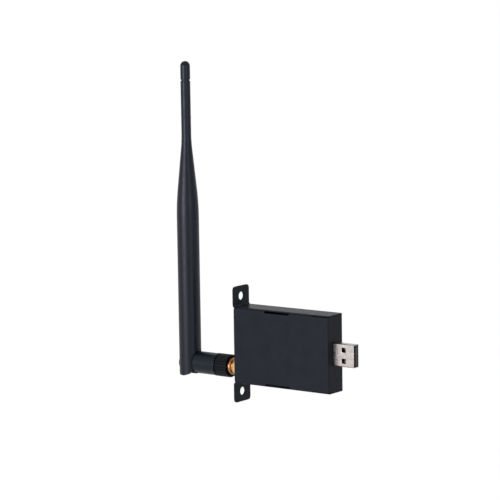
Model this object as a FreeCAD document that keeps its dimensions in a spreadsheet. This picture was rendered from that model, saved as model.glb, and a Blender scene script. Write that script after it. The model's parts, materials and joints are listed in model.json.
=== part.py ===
import FreeCAD, Part
import math
import os
import re
import Sketcher

# A wireless network adapter in a folded sheet-metal case. The case has two drilled ears, a plug on
# one end and, on the other, a threaded radio connector that carries a swivelling aerial.
#
# Frame, in millimetres: +X runs along the case from the ears to the plug, +Z is up along the raised
# aerial, and the case's front face looks along -Y. The origin is midway between the two ear holes,
# on the face of the ears that lies against a wall.

os.makedirs("parts", exist_ok=True)
document = FreeCAD.newDocument("NetworkAdapter")

SIZES = {
    # the folded case
    "sheet_thick": 0.8,
    "bend_inner": 1.0,
    "cover_bend_inner": 0.2,
    "case_length": 60.6,
    "case_height": 40.8,
    "case_depth": 13.8,
    "panel_setback": 0.6,
    "seam": 0.08,
    # the ears
    "ear_height": 10.6,
    "ear_bend": 1.0,
    "ear_corner": 2.0,
    "ear_hole_radius": 2.15,
    "ear_hole_rise": 5.1,
    # the slots and slits along the front bends
    "slot_start": 20.5,
    "slot_length": 15.7,
    "slot_height": 1.1,
    "slot_drop": 0.55,
    "slit_length": 10.6,
    "slit_height": 0.35,
    # the lips that take the rear cover's screws
    "lip_place": 30.0,
    "lip_width": 9.0,
    "lip_depth": 5.0,
    "lip_hole_drop": 2.7,
    # the small screws
    "screw_radius": 0.95,
    "screw_core": 1.0,
    "screw_clear": 1.15,
    "sunk_head_radius": 1.8,
    "sunk_head_depth": 0.85,
    "cover_screw_length": 3.6,
    # the circuit board
    "board_front": 0.45,
    "board_thick": 1.6,
    "board_start": 2.7,
    "board_side_gap": 2.0,
    "board_plug_gap": 0.2,
    # the plug
    "plug_wide": 12.0,
    "plug_thick": 4.5,
    "plug_wall": 0.3,
    "plug_corner": 0.6,
    "plug_exposed": 12.8,
    "plug_forward": 1.25,
    "plug_inside": 9.2,
    "plug_gap": 0.2,
    "plug_window_long": 2.5,
    "plug_window_wide": 2.6,
    "plug_window_inset": 6.17,
    "plug_window_spread": 5.8,
    "plug_dimple_place": 3.2,
    "plug_dimple_radius": 0.75,
    "plug_dimple_height": 0.25,
    "prong_length": 3.0,
    "prong_width": 1.2,
    "tongue_thick": 1.9,
    "tongue_recess": 0.3,
    "contact_width": 1.0,
    "contact_thick": 0.2,
    "contact_inner": 2.0,
    "contact_outer": 7.0,
    "contact_recess": 1.1,
    "contact_tail": 2.4,
    # the parts soldered to the board
    "can_start": 16.0,
    "can_long": 16.0,
    "can_wide": 14.0,
    "can_tall": 2.4,
    "can_wall": 0.25,
    "can_rise": 1.5,
    "radio_chip_side": 6.0,
    "radio_chip_thick": 0.9,
    "memory_start": 36.0,
    "memory_long": 5.0,
    "memory_wide": 4.0,
    "memory_thick": 1.4,
    "memory_rise": 7.0,
    "crystal_start": 24.5,
    "crystal_long": 3.2,
    "crystal_wide": 2.5,
    "crystal_thick": 0.8,
    "crystal_drop": 10.0,
    "coil_start": 39.0,
    "coil_side": 4.0,
    "coil_thick": 2.0,
    "coil_drop": 7.5,
    "regulator_start": 33.0,
    "regulator_long": 3.0,
    "regulator_wide": 1.7,
    "regulator_thick": 1.1,
    "regulator_drop": 10.5,
    "capacitor_long": 1.6,
    "capacitor_wide": 0.8,
    "capacitor_thick": 0.8,
    "capacitor_start": 35.0,
    "capacitor_pitch": 2.2,
    "capacitor_rise": 12.5,
    "resistor_long": 1.0,
    "resistor_wide": 0.5,
    "resistor_thick": 0.35,
    "resistor_start": 14.0,
    "resistor_pitch": 1.8,
    "resistor_drop": 7.6,
    # the radio connector's jack, its nut and its washer
    "jack_rise": 7.6,
    "jack_thread": 3.175,
    "jack_reach": 9.4,
    "jack_hole_gap": 0.1,
    "jack_flange": 6.4,
    "jack_flange_thick": 1.5,
    "jack_bore": 2.05,
    "jack_mouth": 2.3,
    "jack_mouth_depth": 1.9,
    "jack_leg": 0.9,
    "jack_leg_length": 4.0,
    "jack_leg_spread": 4.6,
    "jack_contact": 0.635,
    "jack_tail": 0.45,
    "jack_tail_length": 3.5,
    "jack_socket": 0.52,
    "jack_socket_depth": 3.2,
    "jack_nut_flats": 8.0,
    "jack_nut_thick": 2.3,
    "washer_radius": 4.3,
    "washer_thick": 0.7,
    # the aerial's coupling nut and knurled sleeve
    "coupling_gap": 1.6,
    "coupling_length": 7.8,
    "coupling_radius": 4.5,
    "coupling_thread_gap": 0.07,
    "coupling_thread_depth": 5.8,
    "coupling_neck_gap": 0.2,
    "collar_radius": 2.95,
    "collar_play": 0.1,
    "sleeve_radius": 6.1,
    "sleeve_length": 7.6,
    "sleeve_lead": 1.2,
    "sleeve_fit": 0.04,
    "sleeve_recess": 5.3,
    "sleeve_recess_depth": 1.3,
    "knurl_depth": 0.3,
    "knurl_count": 24,
    # the aerial's own connector, inside the nut
    "insert_nose": 2.24,
    "insert_radius": 2.5,
    "insert_length": 11.0,
    "insert_seat": 0.05,
    "insert_insulator_length": 4.4,
    "insert_fit": 0.04,
    "pin_radius": 0.46,
    "pin_reach": 1.9,
    "pin_length": 7.4,
    # the swivel base and its knuckle
    "base_gap": 0.5,
    "base_length": 14.3,
    "base_radius": 5.925,
    "base_lip_rise": 0.15,
    "base_lip_width": 1.3,
    "base_spigot_radius": 4.2,
    "base_spigot_length": 1.2,
    "base_channel": 1.1,
    "knuckle_gap": 0.3,
    "knuckle_offset": 0.85,
    "tongue_wide": 5.4,
    "tongue_radius": 5.0,
    "boss_radius": 1.6,
    "boss_height": 1.3,
    "boss_gap": 0.06,
    "coax_radius": 0.9,
    "base_coax_end": 2.4,
    # the mast
    "fork_reach": 6.15,
    "fork_corner": 3.8,
    "mast_radius": 5.925,
    "mast_top_radius": 2.6,
    "mast_shoulder": 78.7,
    "mast_neck": 123.7,
    "mast_shoulder_round": 150.0,
    "mast_neck_round": 85.0,
    "mast_length": 151.5,
    "mast_floor": 11.0,
    "mast_bore": 4.4,
    "mast_bore_straight": 82.0,
    "mast_bore_top": 1.9,
    "cap_groove": 0.8,
    "cap_head": 9.7,
    "cap_spigot": 4.0,
    "cap_fit": 0.05,
    # the conductors in the mast
    "feed_top": 52.0,
    "feed_fit": 0.05,
    "whip_radius": 0.6,
    "whip_end_gap": 7.5,
}

# Places that follow from the sizes. A formula may use sizes and the formulas above it.
FORMULAS = {
    "half_depth": "case_depth / 2",
    "half_height": "case_height / 2",
    "bend_outer": "bend_inner + sheet_thick",
    "cover_bend_outer": "cover_bend_inner + sheet_thick",
    "front_inside": "sheet_thick - half_depth",
    "back_inside": "half_depth - sheet_thick",
    "wall_inside": "half_height - sheet_thick",
    "wall_end": "back_inside - seam",
    "ear_flat": "sheet_thick + ear_bend",
    "ear_top": "half_height + ear_height",
    "ear_hole": "half_height + ear_hole_rise",
    "lip_hole": "wall_inside - lip_hole_drop",
    "cover_edge": "wall_inside - seam",
    "board_back": "board_front + board_thick",
    "board_end": "case_length - plug_inside - board_plug_gap",
    "board_height": "2 * (wall_inside - board_side_gap)",
    "plug_middle": "board_front + board_thick / 2 - plug_forward",
    "plug_half_wide": "plug_wide / 2",
    "plug_half_thick": "plug_thick / 2",
    "axis_level": "jack_rise - half_height",
    "nut_face": "0 - washer_thick - jack_nut_thick",
    "jack_end": "0 - jack_reach",
    "joint_plane": "jack_mouth_depth - jack_reach",
    "coupling_right": "nut_face - coupling_gap",
    "coupling_left": "coupling_right - coupling_length",
    "coupling_step": "coupling_right - coupling_thread_depth",
    "coupling_neck": "insert_radius + coupling_neck_gap",
    "collar_left": "coupling_step + collar_play",
    "sleeve_left": "coupling_left - sleeve_lead",
    "sleeve_right": "sleeve_left + sleeve_length",
    "sleeve_bore": "coupling_radius + sleeve_fit",
    "insert_right": "joint_plane - insert_seat",
    "insert_left": "insert_right - insert_length",
    "pin_left": "insert_right + pin_reach - pin_length",
    "base_right": "sleeve_left - base_gap",
    "base_left": "base_right - base_length",
    "pivot_x": "base_left - knuckle_gap - fork_reach",
    "pivot_z": "axis_level - knuckle_offset",
    "mast_x": "pivot_x + knuckle_offset",
    "slot_half": "tongue_wide / 2 + knuckle_gap",
    "fork_side": "fork_reach - knuckle_offset",
    "fork_rise": "base_radius + knuckle_offset + 2 * knuckle_gap",
    "cap_base": "mast_length + cap_groove",
    "whip_top": "mast_length - cap_spigot - whip_end_gap",
}

sheet = document.addObject("Spreadsheet::Sheet", "Sizes")
for row, (size_name, size_value) in enumerate(SIZES.items(), start=1):
    sheet.set(f"A{row}", size_name)
    sheet.set(f"B{row}", str(size_value))
    sheet.setAlias(f"B{row}", size_name)
document.recompute()

nodes = {}


def bound(text):
    """Turns a formula in the sizes' names into one that reads the sheet."""
    def word(match):
        name = match.group(0)
        if name in FORMULAS:
            return "(" + bound(FORMULAS[name]) + ")"
        return "Sizes." + name if name in SIZES else name
    return re.sub(r"[a-z][a-z_]+", word, text)


def value(text):
    """The present value of a formula."""
    return float(sheet.evalExpression(bound(text)))


def place(thing, x="0", y="0", z="0", turn=None):
    """Puts an object where three formulas say, after an optional turn about a main axis."""
    if turn:
        thing.Placement = FreeCAD.Placement(FreeCAD.Vector(), FreeCAD.Rotation(*turn))
    for letter, text in (("x", x), ("y", y), ("z", z)):
        if text != "0":
            thing.setExpression(f"Placement.Base.{letter}", bound(text))
    return thing


def new_body(name):
    body = document.addObject("PartDesign::Body", name)
    body.Label = name
    return body


def new_sketch(body, plane, lift="0"):
    """A sketch on one of the body's own origin planes, lifted along that plane's normal."""
    sketch = body.newObject("Sketcher::SketchObject", body.Name + "_sketch")
    support = [feature for feature in body.Origin.OriginFeatures if feature.Role == plane][0]
    sketch.AttachmentSupport = [(support, "")]
    sketch.MapMode = "FlatFace"
    if lift != "0":
        sketch.setExpression("AttachmentOffset.Base.z", bound(lift))
    return sketch


def pin_point(sketch, element, point, x=None, y=None):
    """Ties one point of a sketch to the place that the formulas give."""
    for kind, axis, text in (("DistanceX", -2, x), ("DistanceY", -1, y)):
        if text == "0":
            sketch.addConstraint(Sketcher.Constraint("PointOnObject", element, point, axis))
        elif text is not None:
            tie = Sketcher.Constraint(kind, -1, 1, element, point, value(text))
            number = sketch.addConstraint(tie)
            sketch.setExpression(f"Constraints[{number}]", bound(text))


def outline(sketch, start, *steps):
    """Draws a closed outline of ("line", x, y), ("arc", x, y, cx, cy) and ("back_arc", ...) steps.

    A step whose x and y are numbers ends where it runs on smoothly into the next one.
    """
    def spot(step):
        pair = step[1:3]
        return pair if isinstance(pair[0], float) else (value(pair[0]), value(pair[1]))

    first = sketch.GeometryCount
    spots = [(value(start[0]), value(start[1]))] + [spot(step) for step in steps]
    heads, tails = [], []
    for number, step in enumerate(steps):
        begin, end = spots[number], spots[number + 1]
        if step[0] == "line":
            sketch.addGeometry(Part.LineSegment(FreeCAD.Vector(*begin, 0), FreeCAD.Vector(*end, 0)), False)
            heads.append(1)
            tails.append(2)
            continue
        centre = (value(step[3]), value(step[4]))
        low, high = (begin, end) if step[0] == "arc" else (end, begin)
        angles = [math.atan2(point[1] - centre[1], point[0] - centre[0]) for point in (low, high)]
        if angles[1] < angles[0]:
            angles[1] += 2 * math.pi
        circle = Part.Circle(FreeCAD.Vector(*centre, 0), FreeCAD.Vector(0, 0, 1), math.dist(begin, centre))
        sketch.addGeometry(Part.ArcOfCircle(circle, *angles), False)
        heads.append(1 if step[0] == "arc" else 2)
        tails.append(2 if step[0] == "arc" else 1)
    count = len(steps)
    for number, step in enumerate(steps):
        follower = (number + 1) % count
        smooth = isinstance(step[1], float)
        join = "Tangent" if smooth else "Coincident"
        meeting = (first + number, tails[number], first + follower, heads[follower])
        sketch.addConstraint(Sketcher.Constraint(join, *meeting))
        if step[0] != "line":
            pin_point(sketch, first + number, 3, step[3], step[4])
        if smooth:
            continue
        across, along = step[1], step[2]
        if step[0] != "line" and not isinstance(steps[number - 1][1], float):
            # the arc's own circle fixes the end's other coordinate
            level = abs(spots[number + 1][1] - value(step[4])) > abs(spots[number + 1][0] - value(step[3]))
            across, along = (across, None) if level else (None, along)
        pin_point(sketch, first + number, tails[number], across, along)


def rectangle(sketch, left, right, low, high):
    outline(sketch, (left, low), ("line", right, low), ("line", right, high), ("line", left, high),
            ("line", left, low))


def circle(sketch, x, y, radius):
    element = sketch.addGeometry(Part.Circle(FreeCAD.Vector(value(x), value(y), 0), FreeCAD.Vector(0, 0, 1),
                                             value(radius)), False)
    pin_point(sketch, element, 3, x, y)
    number = sketch.addConstraint(Sketcher.Constraint("Radius", element, value(radius)))
    sketch.setExpression(f"Constraints[{number}]", bound(radius))


def settle(body, feature, removes):
    """Works a new feature out, and checks that it adds or removes some of the body."""
    before = body.Shape.Volume if body.Shape and not body.Shape.isNull() else 0
    document.recompute()
    change = feature.Shape.Volume - before
    if (removes and change >= 0) or (not removes and change <= 0):
        raise ValueError(f"{feature.Name} of {body.Label} changes the volume by {change:.4f}")
    return feature


def extrude(body, sketch, length, cut=False, symmetric=False, reverse=False):
    """A pad, or with cut a pocket, of the sketch. A length of None goes right through."""
    kind = "Pocket" if cut else "Pad"
    feature = body.newObject("PartDesign::" + kind, f"{body.Name}_{kind}")
    feature.Profile = sketch
    if length is None:
        feature.Type = "ThroughAll"
    else:
        feature.setExpression("Length", bound(length))
    feature.Midplane = symmetric
    feature.Reversed = reverse
    return settle(body, feature, cut)


def revolve(body, sketch, axis="H_Axis", cut=False):
    kind = "Groove" if cut else "Revolution"
    feature = body.newObject("PartDesign::" + kind, f"{body.Name}_{kind}")
    feature.Profile = sketch
    feature.ReferenceAxis = (sketch, [axis])
    feature.Angle = 360
    return settle(body, feature, cut)


def mirrored(body, originals, plane):
    """Repeats features on the other side of one of the body's origin planes."""
    feature = body.newObject("PartDesign::Mirrored", body.Name + "_Mirrored")
    feature.Originals = originals
    support = [item for item in body.Origin.OriginFeatures if item.Role == plane][0]
    feature.MirrorPlane = (support, [""])
    body.Tip = feature
    document.recompute()
    return feature


def soften(body, kind, size, chosen):
    """Fillets or chamfers the edges of the body that a test chooses."""
    base = body.Tip
    names = [f"Edge{number}" for number, edge in enumerate(base.Shape.Edges, start=1) if chosen(edge)]
    if not names:
        raise ValueError(f"no edges to soften on {body.Label}")
    feature = body.newObject("PartDesign::" + kind, f"{body.Name}_{kind}")
    feature.Base = (base, names)
    feature.setExpression("Radius" if kind == "Fillet" else "Size", bound(size))
    document.recompute()
    return feature


def close(first, second):
    return abs(first - second) < 1e-4


def turned(name, *points, x="0", y="0", z="axis_level", turn=None):
    """A turned piece: the outline's first values run along the piece's own X, the others are radii."""
    body = new_body(name)
    sketch = new_sketch(body, "XZ_Plane")
    outline(sketch, points[0], *[("line", *point) for point in points[1:]], ("line", *points[0]))
    revolve(body, sketch)
    return place(body, x, y, z, turn)


def block(name, x, length, y, depth, z, height):
    """A plain box from its lowest corner and its three sides."""
    box = document.addObject("Part::Box", name)
    box.Label = name
    for side, text in (("Length", length), ("Width", depth), ("Height", height)):
        box.setExpression(side, bound(text))
    return place(box, x, y, z)


def group(name, members):
    """One node of several like, separate solids."""
    compound = document.addObject("Part::Compound", name)
    compound.Label = name
    compound.Links = members
    return compound


def combine(kind, name, base, tool):
    result = document.addObject("Part::" + kind, name)
    result.Label = name
    result.Base = base
    result.Tool = tool
    return result


def keep(name, thing):
    nodes[name] = thing
    return thing


def make_case_shell():
    """Front panel, top wall and bottom wall folded from one sheet, with the two ears turned out."""
    body = new_body("case_shell")
    section = new_sketch(body, "YZ_Plane", "panel_setback")
    round_y = "bend_outer - half_depth"
    outline(section, ("wall_end", "half_height"),
            ("line", round_y, "half_height"),
            ("arc", "0 - half_depth", "half_height - bend_outer", round_y, "half_height - bend_outer"),
            ("line", "0 - half_depth", "bend_outer - half_height"),
            ("arc", round_y, "0 - half_height", round_y, "bend_outer - half_height"),
            ("line", "wall_end", "0 - half_height"),
            ("line", "wall_end", "0 - wall_inside"),
            ("line", round_y, "0 - wall_inside"),
            ("back_arc", "front_inside", "bend_inner - wall_inside", round_y, "bend_inner - wall_inside"),
            ("line", "front_inside", "wall_inside - bend_inner"),
            ("back_arc", round_y, "wall_inside", round_y, "wall_inside - bend_inner"),
            ("line", "wall_end", "wall_inside"),
            ("line", "wall_end", "half_height"))
    extrude(body, section, "case_length - panel_setback")

    # the walls stop where the ears' bends begin
    relief = new_sketch(body, "XY_Plane")
    rectangle(relief, "0", "ear_flat", round_y, "half_depth")
    extrude(body, relief, None, cut=True, symmetric=True)

    ear = new_sketch(body, "XZ_Plane")
    outline(ear, ("ear_flat", "half_height"),
            ("back_arc", "sheet_thick", "half_height + ear_bend", "ear_flat", "half_height + ear_bend"),
            ("line", "sheet_thick", "ear_top"),
            ("line", "0", "ear_top"),
            ("line", "0", "half_height + ear_bend"),
            ("arc", "ear_flat", "wall_inside", "ear_flat", "half_height + ear_bend"),
            ("line", "ear_flat", "half_height"))
    upper_ear = extrude(body, ear, "case_depth", symmetric=True)
    mirrored(body, [upper_ear], "XY_Plane")

    def ear_corner(edge):
        middle = edge.CenterOfMass
        return (close(abs(middle.y), value("half_depth")) and close(abs(middle.z), value("ear_top"))
                and close(edge.Length, value("sheet_thick")))
    soften(body, "Fillet", "ear_corner", ear_corner)

    holes = new_sketch(body, "YZ_Plane")
    circle(holes, "0", "ear_hole", "ear_hole_radius")
    circle(holes, "0", "0 - ear_hole", "ear_hole_radius")
    extrude(body, holes, None, cut=True, symmetric=True)

    # slots and slits along both front bends, cut from the front
    bends = new_sketch(body, "XZ_Plane", "half_depth")
    slot_high = "half_height - slot_drop"
    for sign in ("", "0 - "):
        levels = [f"{sign}({slot_high} - slot_height)", f"{sign}({slot_high})"]
        rectangle(bends, "slot_start", "slot_start + slot_length", *levels)
        levels = [f"{sign}({slot_high} - slit_height)", f"{sign}({slot_high})"]
        rectangle(bends, "case_length - slit_length", "case_length + slit_height", *levels)
    extrude(body, bends, "bend_outer", cut=True)

    # a folded lip on each wall's free edge takes one of the rear cover's screws
    lip = new_sketch(body, "XZ_Plane", "0 - wall_end")
    rectangle(lip, "lip_place - lip_width / 2", "lip_place + lip_width / 2", "wall_inside - lip_depth",
              "wall_inside")
    upper_lip = extrude(body, lip, "sheet_thick")
    mirrored(body, [upper_lip], "XY_Plane")
    tapped = new_sketch(body, "XZ_Plane", "0 - wall_end")
    circle(tapped, "lip_place", "lip_hole", "screw_core")
    circle(tapped, "lip_place", "0 - lip_hole", "screw_core")
    extrude(body, tapped, "2 * sheet_thick", cut=True, symmetric=True)
    keep("case_shell", body)


def make_rear_cover():
    """Back panel with both end walls, folded from one sheet, open round the jack and the plug."""
    body = new_body("rear_cover")
    section = new_sketch(body, "XY_Plane")
    front = "front_inside + seam"
    right = "case_length - cover_bend_outer"
    back = "half_depth - cover_bend_outer"
    outline(section, ("0", front),
            ("line", "0", back),
            ("back_arc", "cover_bend_outer", "half_depth", "cover_bend_outer", back),
            ("line", right, "half_depth"),
            ("back_arc", "case_length", back, right, back),
            ("line", "case_length", front),
            ("line", "case_length - sheet_thick", front),
            ("line", "case_length - sheet_thick", back),
            ("arc", right, "back_inside", right, back),
            ("line", "cover_bend_outer", "back_inside"),
            ("arc", "sheet_thick", back, "cover_bend_outer", back),
            ("line", "sheet_thick", front),
            ("line", "0", front))
    extrude(body, section, "case_height", symmetric=True)

    # the end walls stand inside the case's top and bottom walls, and the ears pass the corners
    trims = new_sketch(body, "YZ_Plane")
    corners = new_sketch(body, "XZ_Plane")
    for sign in ("", "0 - "):
        levels = [f"{sign}(cover_edge)", f"{sign}(half_height + seam)"]
        rectangle(trims, "0 - half_depth", "back_inside", *levels)
        rectangle(corners, "0 - seam", "ear_flat + seam", *levels)
    extrude(body, trims, None, cut=True, symmetric=True)
    extrude(body, corners, None, cut=True, symmetric=True)

    def front_corner(edge):
        middle = edge.CenterOfMass
        return (close(middle.y, value(front)) and close(abs(middle.z), value("cover_edge"))
                and close(edge.Length, value("sheet_thick")))
    soften(body, "Fillet", "bend_inner", front_corner)

    jack_hole = new_sketch(body, "YZ_Plane")
    circle(jack_hole, "0", "axis_level", "jack_thread + jack_hole_gap")
    extrude(body, jack_hole, "sheet_thick", cut=True, reverse=True)

    plug_opening = new_sketch(body, "YZ_Plane", "case_length")
    rectangle(plug_opening, "plug_middle - plug_half_thick - plug_gap",
              "plug_middle + plug_half_thick + plug_gap",
              "0 - plug_half_wide - plug_gap", "plug_half_wide + plug_gap")
    extrude(body, plug_opening, "sheet_thick", cut=True)

    fixings = new_sketch(body, "XZ_Plane", "0 - half_depth")
    circle(fixings, "lip_place", "lip_hole", "screw_clear")
    circle(fixings, "lip_place", "0 - lip_hole", "screw_clear")
    extrude(body, fixings, "sheet_thick", cut=True, reverse=True)

    def screw_rim(edge):
        return (isinstance(edge.Curve, Part.Circle) and close(edge.Curve.Radius, value("screw_clear"))
                and close(edge.CenterOfMass.y, value("half_depth")))
    soften(body, "Chamfer", "sunk_head_radius - screw_clear", screw_rim)
    keep("rear_cover", body)


def make_cover_screws():
    """Two countersunk screws, driven from the back into the case's lips."""
    screws = []
    for number, level in enumerate(("lip_hole", "0 - lip_hole"), start=1):
        screw = turned(f"cover_screw_{number}", ("0 - cover_screw_length", "0"),
                       ("0 - cover_screw_length", "screw_radius"), ("0 - sunk_head_depth", "screw_radius"),
                       ("0", "sunk_head_radius - seam"), ("0", "0"), x="lip_place", y="half_depth",
                       z=level, turn=(FreeCAD.Vector(0, 0, 1), 90))
        screws.append(screw)
    keep("cover_screws", group("cover_screws", screws))


def make_circuit_board():
    """The board, with slots for the plug's prongs."""
    body = new_body("circuit_board")
    half = "board_height / 2"
    plate = new_sketch(body, "XZ_Plane", "0 - board_front")
    rectangle(plate, "board_start", "board_end", f"0 - {half}", half)
    extrude(body, plate, "board_thick", reverse=True)
    slots = new_sketch(body, "XZ_Plane", "0 - board_front")
    for sign in ("", "0 - "):
        rectangle(slots, "case_length - plug_inside - prong_length - seam", "board_end + seam",
                  f"{sign}(plug_half_wide - plug_wall - seam)", f"{sign}(plug_half_wide + seam)")
    extrude(body, slots, "board_thick", cut=True)
    keep("circuit_board", body)


def make_plug():
    """The plug: a folded metal shell, the moulded tongue in it and four contact strips."""
    shell = new_body("plug_shell")
    outer = new_sketch(shell, "YZ_Plane", "0 - plug_inside")
    rectangle(outer, "0 - plug_half_thick", "plug_half_thick", "0 - plug_half_wide", "plug_half_wide")
    length = "plug_inside + plug_exposed"
    extrude(shell, outer, length)
    soften(shell, "Fillet", "plug_corner", lambda edge: close(edge.Length, value(length)))
    inner = new_sketch(shell, "YZ_Plane", "plug_exposed")
    rectangle(inner, "plug_wall - plug_half_thick", "plug_half_thick - plug_wall",
              "plug_wall - plug_half_wide", "plug_half_wide - plug_wall")
    extrude(shell, inner, length, cut=True)

    windows = new_sketch(shell, "XZ_Plane")
    middle = "plug_exposed - plug_window_inset"
    for sign in ("", "0 - "):
        rectangle(windows, f"{middle} - plug_window_long / 2", f"{middle} + plug_window_long / 2",
                  f"{sign}(plug_window_spread / 2 - plug_window_wide / 2)",
                  f"{sign}(plug_window_spread / 2 + plug_window_wide / 2)")
    extrude(shell, windows, None, cut=True, symmetric=True)

    # prongs run back from the narrow sides into the board's slots
    prongs = new_sketch(shell, "YZ_Plane", "0 - plug_inside")
    for sign in ("", "0 - "):
        rectangle(prongs, "board_front - plug_middle", "board_front - plug_middle + prong_width",
                  f"{sign}(plug_half_wide - plug_wall)", f"{sign}(plug_half_wide)")
    extrude(shell, prongs, "prong_length", reverse=True)

    dimple = new_sketch(shell, "XZ_Plane", "plug_half_thick")
    circle(dimple, "plug_dimple_place", "0", "plug_dimple_radius")
    extrude(shell, dimple, "plug_dimple_height")
    place(shell, "case_length", "plug_middle")
    keep("plug_shell", shell)

    half_inside = "plug_half_wide - plug_wall - seam"
    tongue = block("plug_tongue", "case_length - plug_inside + seam",
                   "plug_inside + plug_exposed - tongue_recess - seam",
                   "plug_middle + plug_half_thick - plug_wall - seam - tongue_thick", "tongue_thick",
                   f"0 - ({half_inside})", f"2 * ({half_inside})")
    keep("plug_tongue", tongue)

    strips = []
    surface = "plug_half_thick - plug_wall - seam - tongue_thick"
    rise = "board_front - plug_middle"
    for number, spread in enumerate(("contact_outer", "contact_inner", "0 - contact_inner",
                                     "0 - contact_outer"), start=1):
        strip = new_body(f"contact_{number}")
        run = new_sketch(strip, "XY_Plane")
        back = "0 - plug_inside"
        outline(run, ("plug_exposed - contact_recess", surface),
                ("line", back, surface),
                ("line", back, rise),
                ("line", f"{back} - contact_tail", rise),
                ("line", f"{back} - contact_tail", f"{rise} - contact_thick"),
                ("line", f"{back} - contact_thick", f"{rise} - contact_thick"),
                ("line", f"{back} - contact_thick", f"{surface} - contact_thick"),
                ("line", "plug_exposed - contact_recess", f"{surface} - contact_thick"),
                ("line", "plug_exposed - contact_recess", surface))
        extrude(strip, run, "contact_width", symmetric=True)
        strips.append(place(strip, "case_length", "plug_middle", f"({spread}) / 2"))
    keep("plug_contacts", group("plug_contacts", strips))


def make_board_parts():
    """What is soldered to the board's front."""
    can = new_body("shield_can")
    roof = new_sketch(can, "XZ_Plane")
    rectangle(roof, "0", "can_long", "0", "can_wide")
    extrude(can, roof, "can_tall")
    hollow = new_sketch(can, "XZ_Plane")
    rectangle(hollow, "can_wall", "can_long - can_wall", "can_wall", "can_wide - can_wall")
    extrude(can, hollow, "can_tall - can_wall", cut=True, reverse=True)
    place(can, "can_start", "board_front", "can_rise - can_wide / 2")
    keep("shield_can", can)

    def chip(name, start, length, thick, level, height):
        return keep(name, block(name, start, length, f"board_front - {thick}", thick, level, height))

    chip("radio_chip", "can_start + (can_long - radio_chip_side) / 2", "radio_chip_side",
         "radio_chip_thick", "can_rise - radio_chip_side / 2", "radio_chip_side")
    chip("memory_chip", "memory_start", "memory_long", "memory_thick", "memory_rise - memory_wide / 2",
         "memory_wide")
    chip("crystal", "crystal_start", "crystal_long", "crystal_thick",
         "0 - crystal_drop - crystal_wide / 2", "crystal_wide")
    chip("power_coil", "coil_start", "coil_side", "coil_thick", "0 - coil_drop - coil_side / 2",
         "coil_side")
    chip("regulator", "regulator_start", "regulator_long", "regulator_thick",
         "0 - regulator_drop - regulator_wide / 2", "regulator_wide")
    rows = (("capacitors", "capacitor", 6, "capacitor_rise"), ("resistors", "resistor", 6,
                                                              "0 - resistor_drop"))
    for name, kind, count, level in rows:
        pieces = []
        for number in range(count):
            start = f"{kind}_start + {number} * {kind}_pitch"
            pieces.append(block(f"{kind}_{number + 1}", start, f"{kind}_wide",
                                f"board_front - {kind}_thick", f"{kind}_thick",
                                f"{level} - {kind}_long / 2", f"{kind}_long"))
        keep(name, group(name, pieces))


def make_jack():
    """The threaded jack: barrel, square flange against the end wall, and legs that grip the board."""
    body = new_body("jack_body")
    barrel = new_sketch(body, "XZ_Plane")
    outline(barrel, ("jack_end", "jack_mouth"),
            ("line", "jack_end", "jack_thread"),
            ("line", "sheet_thick", "jack_thread"),
            ("line", "sheet_thick", "jack_bore"),
            ("line", "joint_plane", "jack_bore"),
            ("line", "joint_plane", "jack_mouth"),
            ("line", "jack_end", "jack_mouth"))
    revolve(body, barrel)
    half = "jack_flange / 2"
    flange = new_sketch(body, "YZ_Plane", "sheet_thick")
    rectangle(flange, f"0 - {half}", half, f"0 - {half}", half)
    circle(flange, "0", "0", "jack_bore")
    extrude(body, flange, "jack_flange_thick")
    legs = new_sketch(body, "YZ_Plane", "sheet_thick + jack_flange_thick")
    fronts = (("board_front - seam - jack_leg", "board_front - seam"),
              ("board_back + seam", "board_back + seam + jack_leg"))
    for near, far in fronts:
        for sign in ("", "0 - "):
            rectangle(legs, near, far, f"{sign}(jack_leg_spread / 2)",
                      f"{sign}(jack_leg_spread / 2 + jack_leg)")
    extrude(body, legs, "jack_leg_length")
    keep("jack_body", place(body, z="axis_level"))

    flange_end = "sheet_thick + jack_flange_thick"
    keep("jack_insulator", turned("jack_insulator", ("joint_plane", "jack_contact"),
                                  ("joint_plane", "jack_bore"), (flange_end, "jack_bore"),
                                  (flange_end, "jack_contact")))
    keep("jack_contact", turned("jack_contact", ("joint_plane", "jack_socket"),
                                ("joint_plane", "jack_contact"), (flange_end, "jack_contact"),
                                (flange_end, "jack_tail"), (f"{flange_end} + jack_tail_length", "jack_tail"),
                                (f"{flange_end} + jack_tail_length", "0"),
                                ("joint_plane + jack_socket_depth", "0"),
                                ("joint_plane + jack_socket_depth", "jack_socket")))


def make_jack_nut():
    """A hexagon nut and the washer under it."""
    bore = "jack_thread + seam"
    prism = document.addObject("Part::Prism", "nut_hexagon")
    prism.Polygon = 6
    prism.setExpression("Circumradius", bound("jack_nut_flats / 2 / cos(30)"))
    hole = document.addObject("Part::Cylinder", "nut_bore")
    hole.setExpression("Radius", bound(bore))
    for piece in (prism, hole):
        piece.setExpression("Height", bound("jack_nut_thick"))
        place(piece, x="nut_face", z="axis_level", turn=(FreeCAD.Vector(0, 1, 0), 90))
    keep("jack_nut", combine("Cut", "jack_nut", prism, hole))

    keep("jack_washer", turned("jack_washer", ("0 - washer_thick", bore),
                               ("0 - washer_thick", "washer_radius"), ("0", "washer_radius"), ("0", bore)))


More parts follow.
